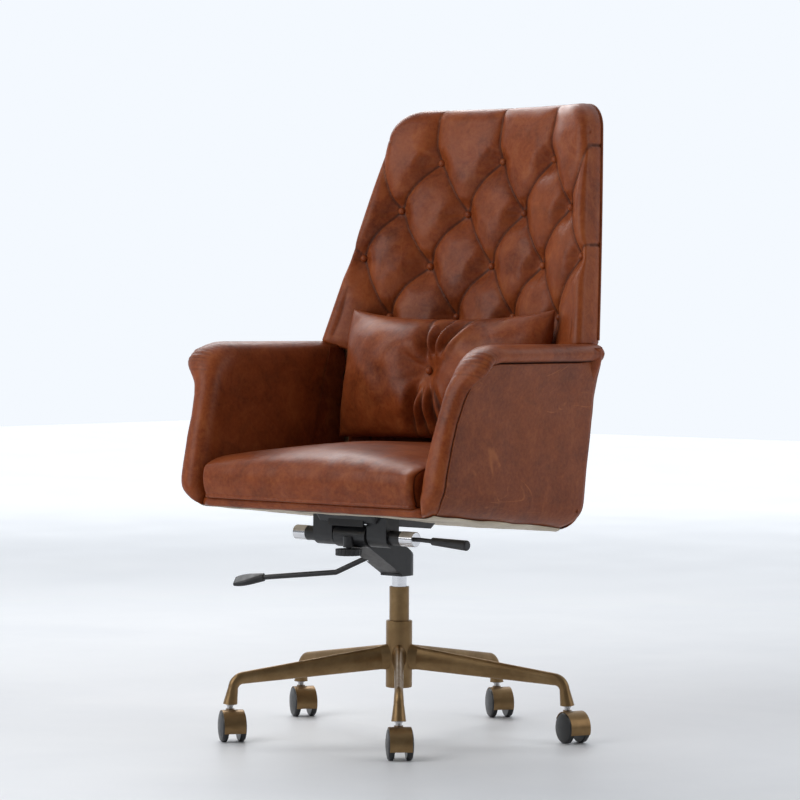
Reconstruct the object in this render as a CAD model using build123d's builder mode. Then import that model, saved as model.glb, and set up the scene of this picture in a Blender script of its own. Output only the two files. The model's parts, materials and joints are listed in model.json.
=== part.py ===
from build123d import *

import os
from math import cos, hypot, radians, sin, sqrt

# Swivel office chair with a five-star base, millimetres. The origin is on the floor under the swivel
# axis, +Z is up, the sitter faces -Y, and +X is on the sitter's left.

# ---------------------------------------------------------------- driving dimensions

# Five-star base: the legs rise from their turned-down feet to the hub.
LEG_COUNT = 5
FIRST_LEG_ANGLE = -50
STEM_CIRCLE_R = 325
FOOT_BOTTOM_Z = 66
HUB_R = 24.5
HUB_BOTTOM_Z = 87
HUB_TOP_Z = 212
HUB_EDGE = 2
LEG_SLOPE = 6.2
FOOT_SLOPE = 80
ELBOW_START_R = 301
ELBOW_START_Z = 113.6
ELBOW_R = 21
ELBOW_STEPS = 6
# (distance from the axis, width, depth) of the leg's sections on its straight part
LEG_STATIONS = ((20, 28, 50), (36, 17.5, 43), (ELBOW_START_R, 15.5, 22.5))
ELBOW_WIDTH = 18.5
FOOT_WIDTH = 26.6

# Caster: the wheels trail behind the stem, along the caster's own +X, turned from the first leg's way.
CASTER_ANGLES = (6, 28, 15, 16, 15)
WHEEL_R = 28
WHEEL_INNER_Y = 11
WHEEL_WIDTH = 14
WHEEL_DOME = 4
AXLE_R = 3
RUNNING_GAP = 0.05
CASTER_TRAIL = 20
HOOD_OUTER_R = 30.3
HOOD_INNER_R = 28.8
HOOD_WIDTH = 40
HOOD_OPEN_FROM = 150
HOOD_OPEN_TO = 339
WEB_WIDTH = 18
WEB_BOTTOM_Z = 19
STEM_R = 5.5
STEM_COLLAR_R = 7.5
STEM_BOSS_R = 8
STEM_BOTTOM_Z = 34
STEM_TOP_Z = 84
STEM_BOSS_TOP_Z = 58

# Gas column, from the outside in
COLUMN_R = 18.4
COLUMN_WALL = 2.2
COLUMN_TOP_Z = 275
COLUMN_BOTTOM_Z = 90
BUSHING_LENGTH = 95
RETAINER_HEIGHT = 6
ROD_R = 5
PISTON_HEIGHT = 12
PISTON_TOP_Z = 228
BEARING_R = 13
BEARING_HEIGHT = 8
CYLINDER_R = 14
CYLINDER_BORE_R = 12.2
CYLINDER_BOTTOM_Z = 130
CYLINDER_TOP_Z = 334
CYLINDER_END = 8
VALVE_R = 4
VALVE_TOP_Z = 341
VALVE_BOTTOM_Z = 322

# Tilt mechanism: a cross tube carried by an arm from the column's socket
PIVOT_Y = -125
PIVOT_Z = 376
TUBE_R = 13.5
TUBE_BORE_R = 10.5
TUBE_HALF_LENGTH = 122
TORSION_BAR_WIDTH = 13
TORSION_BAR_END = 48
CAP_R = 13.9
CAP_HALF_SPAN = 144
CAP_LENGTH = 30
CAP_EDGE = 1.5
SLEEVE_R = 21
SLEEVE_HALF_WIDTH = 38
ARM_HALF_WIDTH = 26
ARM_WALL = 6
SOCKET_R = 23.5
SOCKET_BOTTOM_Z = 296
SOCKET_TOP_Z = 334
NOSE_R = 10
KNOB_Y = -145
KNOB_R = 24
KNOB_BOTTOM_Z = 341
KNOB_HEIGHT = 12
KNOB_GRIPS = 18
KNOB_GRIP_R = 2.2
SCREW_TOP_Z = 363

# Levers
LEVER_R = 5
LEVER_BEND_R = 14
LEVER_PIVOT = (-26, -62, 331)
LEVER_PATH = (
    (6, 4, 347),
    (-10, -37, 345),
    LEVER_PIVOT,
    (-88, -79, 301),
    (-214, -126.5, 288),
    (-232, -133.3, 285.5),
)
PADDLE_END = (-279, -151, 277)
PADDLE_ROLL = 32
LOCK_ROD_R = 4
LOCK_INNER_X = 60
LOCK_BEND_X = 156
LOCK_GRIP_X = 183
LOCK_END = (263, -125, 371)
GRIP_START_R = 7
GRIP_END_R = 9.5

# Seat underside: a plane that falls towards the back
SEAT_SLOPE = 6.2
SEAT_PLANE_Z = 400
DUST_COVER = 1.5
BOARD_HEIGHT = 15
BOARD_HALF_WIDTH = 257
BOARD_FRONT_Y = -243
PLATE_WIDTH = 150
PLATE_FRONT_Y = -158
PLATE_BACK_Y = 23
PLATE_HEIGHT = 3
PLATE_RIM = 3.75
PLATE_DISH = 12
DISH_TAPER = 35
PLATE_LIP_Y = -151
PLATE_LIP_DEPTH = 17
PLATE_LIP_THICKNESS = 4
EAR_R = 18.5
EAR_FROM_X = 42
EAR_TO_X = 88
BUSH_R = 15
BOLT_R = 4
BOLT_HEAD = 13
BOLT_HEAD_HEIGHT = 5.3
NUT_BARREL_R = 5
NUT_FLANGE_R = 9.5
NUT_FLANGE_HEIGHT = 1.6

# Outer body: half-width, and the round along its lower edges
BODY_HALF_WIDTH = 314
BODY_EDGE_R = 55
BODY_FLARE_FROM = 150
SIDE_PANEL = 6
ARM_FRAME = 12

# Seat cushion
CUSHION_FRONT_Y = -269
CUSHION_FRONT_TOP_Z = 505
CUSHION_HALF_WIDTH = 251
CUSHION_TOP_Z = 545
CUSHION_SIDE_TOP_Z = 516
CUSHION_CORNER_R = 14
RAIL_DEPTH = 14

# Back: a slab bent about an upright axis in front of the sitter, and leaning back
BEND_R = 520
BACK_THICKNESS = 60
BACK_LEAN = 0.17
CREST_Y_AT_FLOOR = 103
FRAME_FROM = 40
FRAME_TO = 52
FRAME_INSET = 9
BACK_TOP_Z = 1181
BACK_TOP_HALF_WIDTH = 233
BACK_CORNER_R = 58
BACK_ARM_Z = 730
BACK_ARM_HALF_WIDTH = 318
BACK_LOWER_HALF_WIDTH = 256
BACK_BOTTOM_Z = 300
WELT_PROUD = 2.5
WELT_WIDTH = 5

# Buttons: rows of a diamond pattern, (height, buttons in the row)
BUTTON_ROWS = ((1077, 3), (976, 4), (875, 5), (777, 4))
BUTTON_PITCH = 138
BUTTON_R = 6.5
BUTTON_HEIGHT = 5
BUTTON_EDGE = 1.2
TUFT_DEPTH = 20

# Pillow
PILLOW_CENTRE = (0, 130.5, 668)
PILLOW_HALF_HEIGHT = 124
# (distance from the middle, half thickness)
PILLOW_STATIONS = ((0, 79), (150, 58), (215, 34), (243, 10))
PILLOW_TUFT = 12

GAP = 0.4
FAR = 900

# ---------------------------------------------------------------- places worked out from them

LEAN_LENGTH = hypot(1, BACK_LEAN)
LEAN_DIRECTION = (0, BACK_LEAN / LEAN_LENGTH, 1 / LEAN_LENGTH)
SLOPE_SIN = sin(radians(SEAT_SLOPE))
SLOPE_COS = cos(radians(SEAT_SLOPE))
# Looks along the slope from behind, so its own Y is the height above the seat's underside.
BODY_PLANE = Plane(origin=(0, 0, SEAT_PLANE_Z), x_dir=(1, 0, 0), z_dir=(0, -SLOPE_COS, SLOPE_SIN))
SEAT_PLANE = Plane(origin=(0, 0, SEAT_PLANE_Z), x_dir=(1, 0, 0), z_dir=(0, SLOPE_SIN, SLOPE_COS))

pieces = {}


def crest_y(z):
    """Y of the back's foremost surface on the centre line at height z."""
    return CREST_Y_AT_FLOOR + BACK_LEAN * z


def underside_z(y):
    """Height of the seat's underside at y."""
    return SEAT_PLANE_Z - y * SLOPE_SIN / SLOPE_COS


def rod(radius, bottom, top, bore=0.0):
    """An upright round bar or tube on the swivel axis."""
    with BuildPart() as bar:
        with BuildSketch(Plane.XY.offset(bottom)):
            Circle(radius)
            if bore:
                Circle(bore, mode=Mode.SUBTRACT)
        extrude(amount=top - bottom)
    return bar.part


def cross_bar(radius, start, end, bore=0.0):
    """A round bar or tube along the tilt axis."""
    with BuildPart() as bar:
        with BuildSketch(Plane(origin=(start, PIVOT_Y, PIVOT_Z), x_dir=(0, 1, 0), z_dir=(1, 0, 0))):
            Circle(radius)
            if bore:
                Circle(bore, mode=Mode.SUBTRACT)
        extrude(amount=end - start)
    return bar.part


# ---------------------------------------------------------------- five-star base


def leg_section(distance, height, slope, width, depth):
    """A section across the leg where it runs outward and falls at slope degrees."""
    heading = (cos(radians(slope)), 0, -sin(radians(slope)))
    with BuildSketch(Plane(origin=(distance, 0, height), x_dir=(0, 1, 0), z_dir=heading)) as section:
        Ellipse(width / 2, depth / 2)
    return section.sketch


leg_rise = sin(radians(LEG_SLOPE)) / cos(radians(LEG_SLOPE))
straight = []
for distance, width, depth in LEG_STATIONS:
    height = ELBOW_START_Z + (ELBOW_START_R - distance) * leg_rise
    straight.append(leg_section(distance, height, LEG_SLOPE, width, depth))

# the elbow turns down round a centre below the leg
centre_r = ELBOW_START_R - ELBOW_R * sin(radians(LEG_SLOPE))
centre_z = ELBOW_START_Z - ELBOW_R * cos(radians(LEG_SLOPE))
_, blade_width, blade_depth = LEG_STATIONS[-1]
elbow = []
for step in range(ELBOW_STEPS + 1):
    share = step / ELBOW_STEPS
    slope = LEG_SLOPE + (FOOT_SLOPE - LEG_SLOPE) * share
    width = blade_width + (ELBOW_WIDTH - blade_width) * share
    depth = blade_depth + (ELBOW_WIDTH - blade_depth) * share
    distance = centre_r + ELBOW_R * sin(radians(slope))
    height = centre_z + ELBOW_R * cos(radians(slope))
    elbow.append(leg_section(distance, height, slope, width, depth))
foot = leg_section(STEM_CIRCLE_R, FOOT_BOTTOM_Z - 1, FOOT_SLOPE, FOOT_WIDTH, FOOT_WIDTH)

with BuildPart() as leg:
    loft(straight[:2])
    loft(straight[1:])
    loft(elbow)
    loft([elbow[-1], foot])
    # level underside of the foot
    with BuildSketch(Plane.XY.offset(FOOT_BOTTOM_Z)):
        with Locations((STEM_CIRCLE_R, 0)):
            Circle(STEM_CIRCLE_R / 2)
    extrude(amount=-FOOT_BOTTOM_Z, mode=Mode.SUBTRACT)

with BuildPart() as base_star:
    with BuildSketch(Plane.XY.offset(HUB_BOTTOM_Z)):
        Circle(HUB_R)
    extrude(amount=HUB_TOP_Z - HUB_BOTTOM_Z)
    fillet(base_star.edges().filter_by(GeomType.CIRCLE), HUB_EDGE)
    with PolarLocations(0, LEG_COUNT, start_angle=FIRST_LEG_ANGLE):
        add(leg.part)
    with BuildSketch(Plane.XY.offset(HUB_BOTTOM_Z - 1)):
        Circle(COLUMN_R)
    extrude(amount=HUB_TOP_Z - HUB_BOTTOM_Z + 2, mode=Mode.SUBTRACT)
    with BuildSketch(Plane.XY.offset(FOOT_BOTTOM_Z - 1)):
        with PolarLocations(STEM_CIRCLE_R, LEG_COUNT, start_angle=FIRST_LEG_ANGLE):
            Circle(STEM_R)
    extrude(amount=STEM_TOP_Z - FOOT_BOTTOM_Z + 1, mode=Mode.SUBTRACT)
pieces["base_star"] = base_star.part

with BuildPart() as caster_stems:
    with BuildSketch(Plane.XY.offset(STEM_BOTTOM_Z)):
        with PolarLocations(STEM_CIRCLE_R, LEG_COUNT, start_angle=FIRST_LEG_ANGLE):
            Circle(STEM_R)
    extrude(amount=STEM_TOP_Z - STEM_BOTTOM_Z)
    with BuildSketch(Plane.XY.offset(FOOT_BOTTOM_Z)):
        with PolarLocations(STEM_CIRCLE_R, LEG_COUNT, start_angle=FIRST_LEG_ANGLE):
            Circle(STEM_COLLAR_R)
    extrude(amount=-2)
pieces["caster_stems"] = caster_stems.part

# ---------------------------------------------------------------- casters

with BuildPart() as hood:
    with BuildSketch(Plane.XZ):
        with Locations((CASTER_TRAIL, WHEEL_R)):
            Circle(HOOD_OUTER_R)
            Circle(HOOD_INNER_R, mode=Mode.SUBTRACT)
            with BuildLine():
                reach = 2 * HOOD_OUTER_R
                middle = (HOOD_OPEN_FROM + HOOD_OPEN_TO) / 2
                rays = (HOOD_OPEN_FROM, middle - 45, middle, middle + 45, HOOD_OPEN_TO)
                hub = Vector(CASTER_TRAIL, WHEEL_R)
                corners = [hub + Vector(reach, 0).rotate(Axis.Z, angle) for angle in rays]
                Polyline(hub, *corners, close=True)
            make_face(mode=Mode.SUBTRACT)
    extrude(amount=HOOD_WIDTH / 2, both=True)
    with BuildSketch(Plane.XZ):
        with Locations((CASTER_TRAIL, WHEEL_R)):
            Circle(HOOD_INNER_R + 0.5)
        with Locations((CASTER_TRAIL, WEB_BOTTOM_Z + HOOD_OUTER_R)):
            Rectangle(2 * CASTER_TRAIL + STEM_BOSS_R, 2 * HOOD_OUTER_R, mode=Mode.INTERSECT)
    extrude(amount=WEB_WIDTH / 2, both=True)
    with BuildSketch(Plane.XY.offset(STEM_BOTTOM_Z - 3)):
        Circle(STEM_BOSS_R)
    extrude(amount=STEM_BOSS_TOP_Z - STEM_BOTTOM_Z + 3)
    with BuildSketch(Plane.XY.offset(STEM_BOTTOM_Z - GAP)):
        Circle(STEM_R + RUNNING_GAP)
    extrude(amount=STEM_BOSS_TOP_Z, mode=Mode.SUBTRACT)
    with BuildSketch(Plane.XZ):
        with Locations((CASTER_TRAIL, WHEEL_R)):
            Circle(AXLE_R)
    extrude(amount=HOOD_WIDTH, both=True, mode=Mode.SUBTRACT)

AXLE_HALF_LENGTH = WHEEL_INNER_Y + WHEEL_WIDTH - WHEEL_DOME
with BuildPart() as axle:
    with BuildSketch(Plane.XZ):
        with Locations((CASTER_TRAIL, WHEEL_R)):
            Circle(AXLE_R)
    extrude(amount=AXLE_HALF_LENGTH, both=True)

with BuildPart() as wheel:
    with BuildSketch(Plane.XY):
        with BuildLine():
            face = WHEEL_INNER_Y + WHEEL_WIDTH
            rim = (WHEEL_R - 2, face - WHEEL_DOME + 0.7)
            dome_r = (rim[0] ** 2 + (face - rim[1]) ** 2) / (2 * (face - rim[1]))
            half_way = (rim[0] / 2, face - dome_r + sqrt(dome_r**2 - (rim[0] / 2) ** 2))
            bore = AXLE_R + RUNNING_GAP
            Polyline(
                (0, face),
                (0, AXLE_HALF_LENGTH + GAP),
                (bore, AXLE_HALF_LENGTH + GAP),
                (bore, WHEEL_INNER_Y),
                (WHEEL_R - 1.5, WHEEL_INNER_Y),
                (WHEEL_R, WHEEL_INNER_Y + 1.5),
                (WHEEL_R, rim[1] - 2.2),
                rim,
            )
            ThreePointArc(rim, half_way, (0, face))
        make_face()
    revolve(axis=Axis.Y)

for number in range(LEG_COUNT):
    leg_angle = FIRST_LEG_ANGLE + number * 360 / LEG_COUNT
    stem = Vector(STEM_CIRCLE_R, 0, 0).rotate(Axis.Z, leg_angle)
    place = Location((stem.X, stem.Y, 0), (0, 0, FIRST_LEG_ANGLE + CASTER_ANGLES[number]))
    hub_place = place * Location((CASTER_TRAIL, 0, WHEEL_R))
    pieces[f"caster_hood_{number + 1}"] = hood.part.moved(place)
    pieces[f"caster_axle_{number + 1}"] = axle.part.moved(place)
    pieces[f"wheel_left_{number + 1}"] = wheel.part.moved(hub_place)
    pieces[f"wheel_right_{number + 1}"] = wheel.part.moved(hub_place * Location((0, 0, 0), (0, 0, 180)))

# ---------------------------------------------------------------- gas column

COLUMN_BORE = COLUMN_R - COLUMN_WALL
BEARING_BOTTOM_Z = COLUMN_BOTTOM_Z + RETAINER_HEIGHT
pieces["column_tube"] = rod(COLUMN_R, COLUMN_BOTTOM_Z, COLUMN_TOP_Z, COLUMN_BORE)
pieces["column_bushing"] = rod(
    COLUMN_BORE, COLUMN_TOP_Z - BUSHING_LENGTH, COLUMN_TOP_Z - 1, CYLINDER_R + RUNNING_GAP
)
pieces["column_retainer"] = rod(COLUMN_BORE, COLUMN_BOTTOM_Z, BEARING_BOTTOM_Z, ROD_R + RUNNING_GAP)
pieces["thrust_bearing"] = rod(
    BEARING_R, BEARING_BOTTOM_Z + RUNNING_GAP, BEARING_BOTTOM_Z + BEARING_HEIGHT, ROD_R
)

with BuildPart() as piston_rod:
    with BuildSketch(Plane.XY.offset(COLUMN_BOTTOM_Z + 1)):
        Circle(ROD_R)
    extrude(amount=PISTON_TOP_Z - COLUMN_BOTTOM_Z - 1)
    with BuildSketch(Plane.XY.offset(PISTON_TOP_Z - PISTON_HEIGHT)):
        Circle(CYLINDER_BORE_R - RUNNING_GAP)
    extrude(amount=PISTON_HEIGHT)
pieces["piston_rod"] = piston_rod.part

with BuildPart() as gas_cylinder:
    with BuildSketch(Plane.XY.offset(CYLINDER_BOTTOM_Z)):
        Circle(CYLINDER_R)
    extrude(amount=CYLINDER_TOP_Z - CYLINDER_BOTTOM_Z)
    with BuildSketch(Plane.XY.offset(CYLINDER_BOTTOM_Z + CYLINDER_END)):
        Circle(CYLINDER_BORE_R)
    extrude(amount=CYLINDER_TOP_Z - CYLINDER_BOTTOM_Z - 2 * CYLINDER_END, mode=Mode.SUBTRACT)
    with BuildSketch(Plane.XY.offset(CYLINDER_BOTTOM_Z)):
        Circle(ROD_R + RUNNING_GAP)
    extrude(amount=CYLINDER_END, mode=Mode.SUBTRACT)
    with BuildSketch(Plane.XY.offset(CYLINDER_TOP_Z)):
        Circle(VALVE_R + RUNNING_GAP)
    extrude(amount=-CYLINDER_END, mode=Mode.SUBTRACT)
pieces["gas_cylinder"] = gas_cylinder.part
pieces["valve_button"] = rod(VALVE_R, VALVE_BOTTOM_Z, VALVE_TOP_Z)

# ---------------------------------------------------------------- tilt mechanism

# (Y, Z) round the arm's side view, from under the cross tube to the column's socket and back
HOUSING_SIDE = (
    (PIVOT_Y - 12, PIVOT_Z - 12),
    (PIVOT_Y + 6, PIVOT_Z - 20),
    (-SOCKET_R, SOCKET_BOTTOM_Z + 4),
    (-SOCKET_R, SOCKET_BOTTOM_Z),
    (SOCKET_R, SOCKET_BOTTOM_Z),
    (SOCKET_R, SOCKET_TOP_Z - 5),
    (-8, SOCKET_TOP_Z + 16),
    (-60, PIVOT_Z - 13),
    (PIVOT_Y + 15, PIVOT_Z + 6),
)
POCKET_FRONT_Y = -72
POCKET_FLOOR_Z = SOCKET_TOP_Z - 14
# (Y, Z) round the pocket that the height lever's inner end swings in
POCKET_SIDE = (
    (POCKET_FRONT_Y, POCKET_FLOOR_Z + 11),
    (POCKET_FRONT_Y + 22, POCKET_FLOOR_Z),
    (-SOCKET_R, POCKET_FLOOR_Z),
    (-SOCKET_R, SOCKET_TOP_Z),
    (SOCKET_R - ARM_WALL, SOCKET_TOP_Z),
    (SOCKET_R - ARM_WALL, PIVOT_Z),
    (POCKET_FRONT_Y, PIVOT_Z),
)
LEVER_WINDOW = (34, 20)
NOSE_BOTTOM_Z = KNOB_BOTTOM_Z + KNOB_HEIGHT + 3

with BuildPart() as mechanism_housing:
    with BuildSketch(Plane.YZ):
        with BuildLine():
            Polyline(*HOUSING_SIDE, close=True)
        make_face()
    extrude(amount=ARM_HALF_WIDTH, both=True)
    with BuildSketch(Plane.YZ):
        with BuildLine():
            Polyline(*POCKET_SIDE, close=True)
        make_face()
    extrude(amount=ARM_HALF_WIDTH - ARM_WALL, both=True, mode=Mode.SUBTRACT)
    # round the arm's column end in plan
    with BuildSketch(Plane.XY.offset(SOCKET_BOTTOM_Z)):
        with Locations((0, PIVOT_Y / 2 - SOCKET_R)):
            Rectangle(2 * ARM_HALF_WIDTH, -PIVOT_Y + 2 * SOCKET_R)
        Circle(ARM_HALF_WIDTH)
    extrude(amount=PIVOT_Z, mode=Mode.INTERSECT)
    add(cross_bar(SLEEVE_R, -SLEEVE_HALF_WIDTH, SLEEVE_HALF_WIDTH))
    with BuildSketch(Plane.XY.offset(NOSE_BOTTOM_Z)):
        with Locations((0, KNOB_Y)):
            Circle(NOSE_R)
    extrude(amount=PIVOT_Z - NOSE_BOTTOM_Z)
    add(cross_bar(TUBE_R, -FAR / 2, FAR / 2), mode=Mode.SUBTRACT)
    with BuildSketch(Plane.XY.offset(KNOB_BOTTOM_Z)):
        with Locations((0, KNOB_Y)):
            Circle(LEVER_R + RUNNING_GAP)
    extrude(amount=SCREW_TOP_Z + GAP - KNOB_BOTTOM_Z, mode=Mode.SUBTRACT)
    with BuildSketch(Plane.XY.offset(SOCKET_BOTTOM_Z)):
        Circle(CYLINDER_R)
    extrude(amount=FAR, mode=Mode.SUBTRACT)
    # window that the height lever swings in
    with BuildSketch(Plane.YZ.offset(-ARM_HALF_WIDTH - 1)):
        with Locations((LEVER_PIVOT[1] + 5, LEVER_PIVOT[2] + 3)):
            SlotOverall(*LEVER_WINDOW)
    extrude(amount=ARM_WALL + 2, mode=Mode.SUBTRACT)
pieces["mechanism_housing"] = mechanism_housing.part

pieces["torsion_tube"] = cross_bar(TUBE_R, -TUBE_HALF_LENGTH, TUBE_HALF_LENGTH, TUBE_BORE_R)

bar_plane = Plane(origin=(-TUBE_HALF_LENGTH, PIVOT_Y, PIVOT_Z), x_dir=(0, 1, 0), z_dir=(1, 0, 0))
with BuildPart() as torsion_bar:
    with BuildSketch(bar_plane):
        Rectangle(TORSION_BAR_WIDTH, TORSION_BAR_WIDTH)
    extrude(amount=TUBE_HALF_LENGTH + TORSION_BAR_END)
pieces["torsion_bar"] = torsion_bar.part

with BuildPart() as end_caps:
    for side in (-1, 1):
        add(cross_bar(CAP_R, side * CAP_HALF_SPAN, side * (CAP_HALF_SPAN - CAP_LENGTH)))
    fillet(end_caps.edges().filter_by(GeomType.CIRCLE).group_by(Axis.X)[0], CAP_EDGE)
    fillet(end_caps.edges().filter_by(GeomType.CIRCLE).group_by(Axis.X)[-1], CAP_EDGE)
    add(cross_bar(TUBE_R, -TUBE_HALF_LENGTH, TUBE_HALF_LENGTH), mode=Mode.SUBTRACT)
    add(cross_bar(LOCK_ROD_R + RUNNING_GAP, LOCK_INNER_X, FAR / 2), mode=Mode.SUBTRACT)
pieces["end_caps"] = end_caps.part

with BuildPart() as tension_knob:
    with BuildSketch(Plane.XY.offset(KNOB_BOTTOM_Z)):
        with Locations((0, KNOB_Y)):
            Circle(KNOB_R)
            with PolarLocations(KNOB_R + KNOB_GRIP_R / 2, KNOB_GRIPS):
                Circle(KNOB_GRIP_R, mode=Mode.SUBTRACT)
    extrude(amount=KNOB_HEIGHT)
    fillet(tension_knob.faces().sort_by(Axis.Z)[0].edges(), 1)
    with BuildSketch(Plane.XY.offset(KNOB_BOTTOM_Z + 3)):
        with Locations((0, KNOB_Y)):
            Circle(LEVER_R)
    extrude(amount=KNOB_HEIGHT, mode=Mode.SUBTRACT)
pieces["tension_knob"] = tension_knob.part

with BuildPart() as tension_screw:
    with BuildSketch(Plane.XY.offset(KNOB_BOTTOM_Z + 3)):
        with Locations((0, KNOB_Y)):
            Circle(LEVER_R)
    extrude(amount=SCREW_TOP_Z - KNOB_BOTTOM_Z - 3)
pieces["tension_screw"] = tension_screw.part

# ---------------------------------------------------------------- levers

with BuildPart() as height_lever_rod:
    with BuildLine() as lever_line:
        FilletPolyline(*LEVER_PATH, radius=LEVER_BEND_R)
    with BuildSketch(Plane(origin=lever_line.line @ 0, z_dir=lever_line.line % 0)):
        Circle(LEVER_R)
    sweep()
pieces["height_lever_rod"] = height_lever_rod.part

paddle_start = Vector(*LEVER_PATH[-1])
paddle_way = (Vector(*PADDLE_END) - paddle_start).normalized()
level = Vector(0, 0, 1).cross(paddle_way).normalized()
# the paddle's front edge is rolled down, so that its face can be seen from above
across = level.rotate(Axis((0, 0, 0), paddle_way), -PADDLE_ROLL)
# (distance along the paddle from the rod's end, width, height)
PADDLE_STATIONS = ((-10, 16, 14), (0, 19, 15), (18, 27, 13), (38, 29, 10), (50, 24, 6))
with BuildPart() as height_lever_paddle:
    for distance, width, height in PADDLE_STATIONS:
        spot = paddle_start + paddle_way * distance
        with BuildSketch(Plane(origin=spot, x_dir=across, z_dir=paddle_way)):
            RectangleRounded(width, height, height / 2 - 0.2)
    loft()
    add(height_lever_rod.part, mode=Mode.SUBTRACT)
pieces["height_lever_paddle"] = height_lever_paddle.part

lock_out = Vector(LOCK_BEND_X, PIVOT_Y, PIVOT_Z)
lock_way = (Vector(*LOCK_END) - lock_out).normalized()
grip_start = lock_out + lock_way * (LOCK_GRIP_X - LOCK_BEND_X)
rod_end = grip_start + lock_way * 20
with BuildPart() as tilt_lock_rod:
    with BuildLine() as lock_line:
        FilletPolyline((LOCK_INNER_X, PIVOT_Y, PIVOT_Z), lock_out, rod_end, radius=2 * LEVER_BEND_R)
    with BuildSketch(Plane(origin=lock_line.line @ 0, z_dir=lock_line.line % 0)):
        Circle(LOCK_ROD_R)
    sweep()
    add(cross_bar(TUBE_BORE_R - GAP, LOCK_INNER_X, LOCK_INNER_X + 10))
pieces["tilt_lock_rod"] = tilt_lock_rod.part

grip_length = (Vector(*LOCK_END) - grip_start).length
with BuildPart() as tilt_lock_grip:
    with BuildSketch(Plane(origin=grip_start, z_dir=lock_way)):
        Circle(GRIP_START_R)
    with BuildSketch(Plane(origin=grip_start + lock_way * grip_length, z_dir=lock_way)):
        Circle(GRIP_END_R)
    loft()
    fillet(tilt_lock_grip.edges().group_by(Axis.X)[-1], 3)
    add(tilt_lock_rod.part, mode=Mode.SUBTRACT)
pieces["tilt_lock_grip"] = tilt_lock_grip.part

# ---------------------------------------------------------------- seat plate, board and fixings

BOLT_X = PLATE_WIDTH / 2 - 19
BOLT_Y = (PIVOT_Y + 35, PLATE_BACK_Y - 21)
bolt_spots = [(side * BOLT_X, y) for side in (-1, 1) for y in BOLT_Y]
PLATE_LENGTH = PLATE_BACK_Y - PLATE_FRONT_Y
plate_middle = (PLATE_FRONT_Y + PLATE_BACK_Y) / 2

with BuildPart() as tilt_top_plate:
    with BuildSketch(SEAT_PLANE.offset(-DUST_COVER)):
        with Locations((0, plate_middle)):
            RectangleRounded(PLATE_WIDTH, PLATE_LENGTH, 12)
    extrude(amount=-PLATE_DISH, taper=DISH_TAPER)
    with BuildSketch(SEAT_PLANE.offset(-DUST_COVER - PLATE_HEIGHT)):
        with Locations((0, plate_middle)):
            RectangleRounded(PLATE_WIDTH - 2 * PLATE_RIM, PLATE_LENGTH - 2 * PLATE_RIM, 10)
    extrude(amount=-PLATE_DISH, taper=DISH_TAPER, mode=Mode.SUBTRACT)
    for side in (-1, 1):
        with BuildSketch(Plane.YZ.offset(side * EAR_FROM_X)):
            with Locations((PIVOT_Y, PIVOT_Z)):
                Circle(EAR_R)
            with Locations((PIVOT_Y, PIVOT_Z + EAR_R)):
                Rectangle(2 * EAR_R, 2 * EAR_R)
        extrude(amount=side * (EAR_TO_X - EAR_FROM_X))
    # lip that hangs in front of the cross tube, between the ears
    with BuildSketch(SEAT_PLANE.offset(-DUST_COVER - PLATE_HEIGHT)):
        with Locations((0, PLATE_LIP_Y)):
            Rectangle(2 * EAR_FROM_X, PLATE_LIP_THICKNESS)
    extrude(amount=-PLATE_LIP_DEPTH)
    # trim the ears flush with the plate's top
    with BuildSketch(SEAT_PLANE.offset(-DUST_COVER)):
        Rectangle(FAR, FAR)
    extrude(amount=FAR, mode=Mode.SUBTRACT)
    add(cross_bar(BUSH_R, -FAR / 2, FAR / 2), mode=Mode.SUBTRACT)
    with BuildSketch(SEAT_PLANE):
        with Locations(*bolt_spots):
            Circle(BOLT_R)
    extrude(amount=-PLATE_DISH, mode=Mode.SUBTRACT)
pieces["tilt_top_plate"] = tilt_top_plate.part

with BuildPart() as tilt_bushes:
    for side in (-1, 1):
        add(cross_bar(BUSH_R, side * EAR_FROM_X, side * EAR_TO_X, TUBE_R + RUNNING_GAP))
pieces["tilt_bushes"] = tilt_bushes.part

with BuildPart() as plate_bolts:
    with BuildSketch(SEAT_PLANE.offset(-DUST_COVER - PLATE_HEIGHT)):
        with Locations(*bolt_spots):
            RegularPolygon(BOLT_HEAD / 2, 6, major_radius=False)
    extrude(amount=-BOLT_HEAD_HEIGHT)
    with BuildSketch(SEAT_PLANE.offset(-DUST_COVER - PLATE_HEIGHT)):
        with Locations(*bolt_spots):
            Circle(BOLT_R)
    extrude(amount=PLATE_HEIGHT + DUST_COVER + BOARD_HEIGHT - NUT_FLANGE_HEIGHT)
pieces["plate_bolts"] = plate_bolts.part

with BuildPart() as t_nuts:
    with BuildSketch(SEAT_PLANE):
        with Locations(*bolt_spots):
            Circle(NUT_BARREL_R)
    extrude(amount=BOARD_HEIGHT)
    with BuildSketch(SEAT_PLANE.offset(BOARD_HEIGHT)):
        with Locations(*bolt_spots):
            Circle(NUT_FLANGE_R)
    extrude(amount=-NUT_FLANGE_HEIGHT)
    with BuildSketch(SEAT_PLANE):
        with Locations(*bolt_spots):
            Circle(BOLT_R)
    extrude(amount=BOARD_HEIGHT, mode=Mode.SUBTRACT)
pieces["t_nuts"] = t_nuts.part

# ---------------------------------------------------------------- shared shapes of the body


def leaning_disc(radius):
    """Everything in front of a bent surface of the back: an upright cylinder that leans with it."""
    with BuildPart() as disc:
        with BuildSketch(Plane.XY):
            with Locations((0, crest_y(0) - BEND_R)):
                Circle(radius)
        extrude(amount=2 * FAR * LEAN_LENGTH, dir=LEAN_DIRECTION)
    return disc.part


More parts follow.
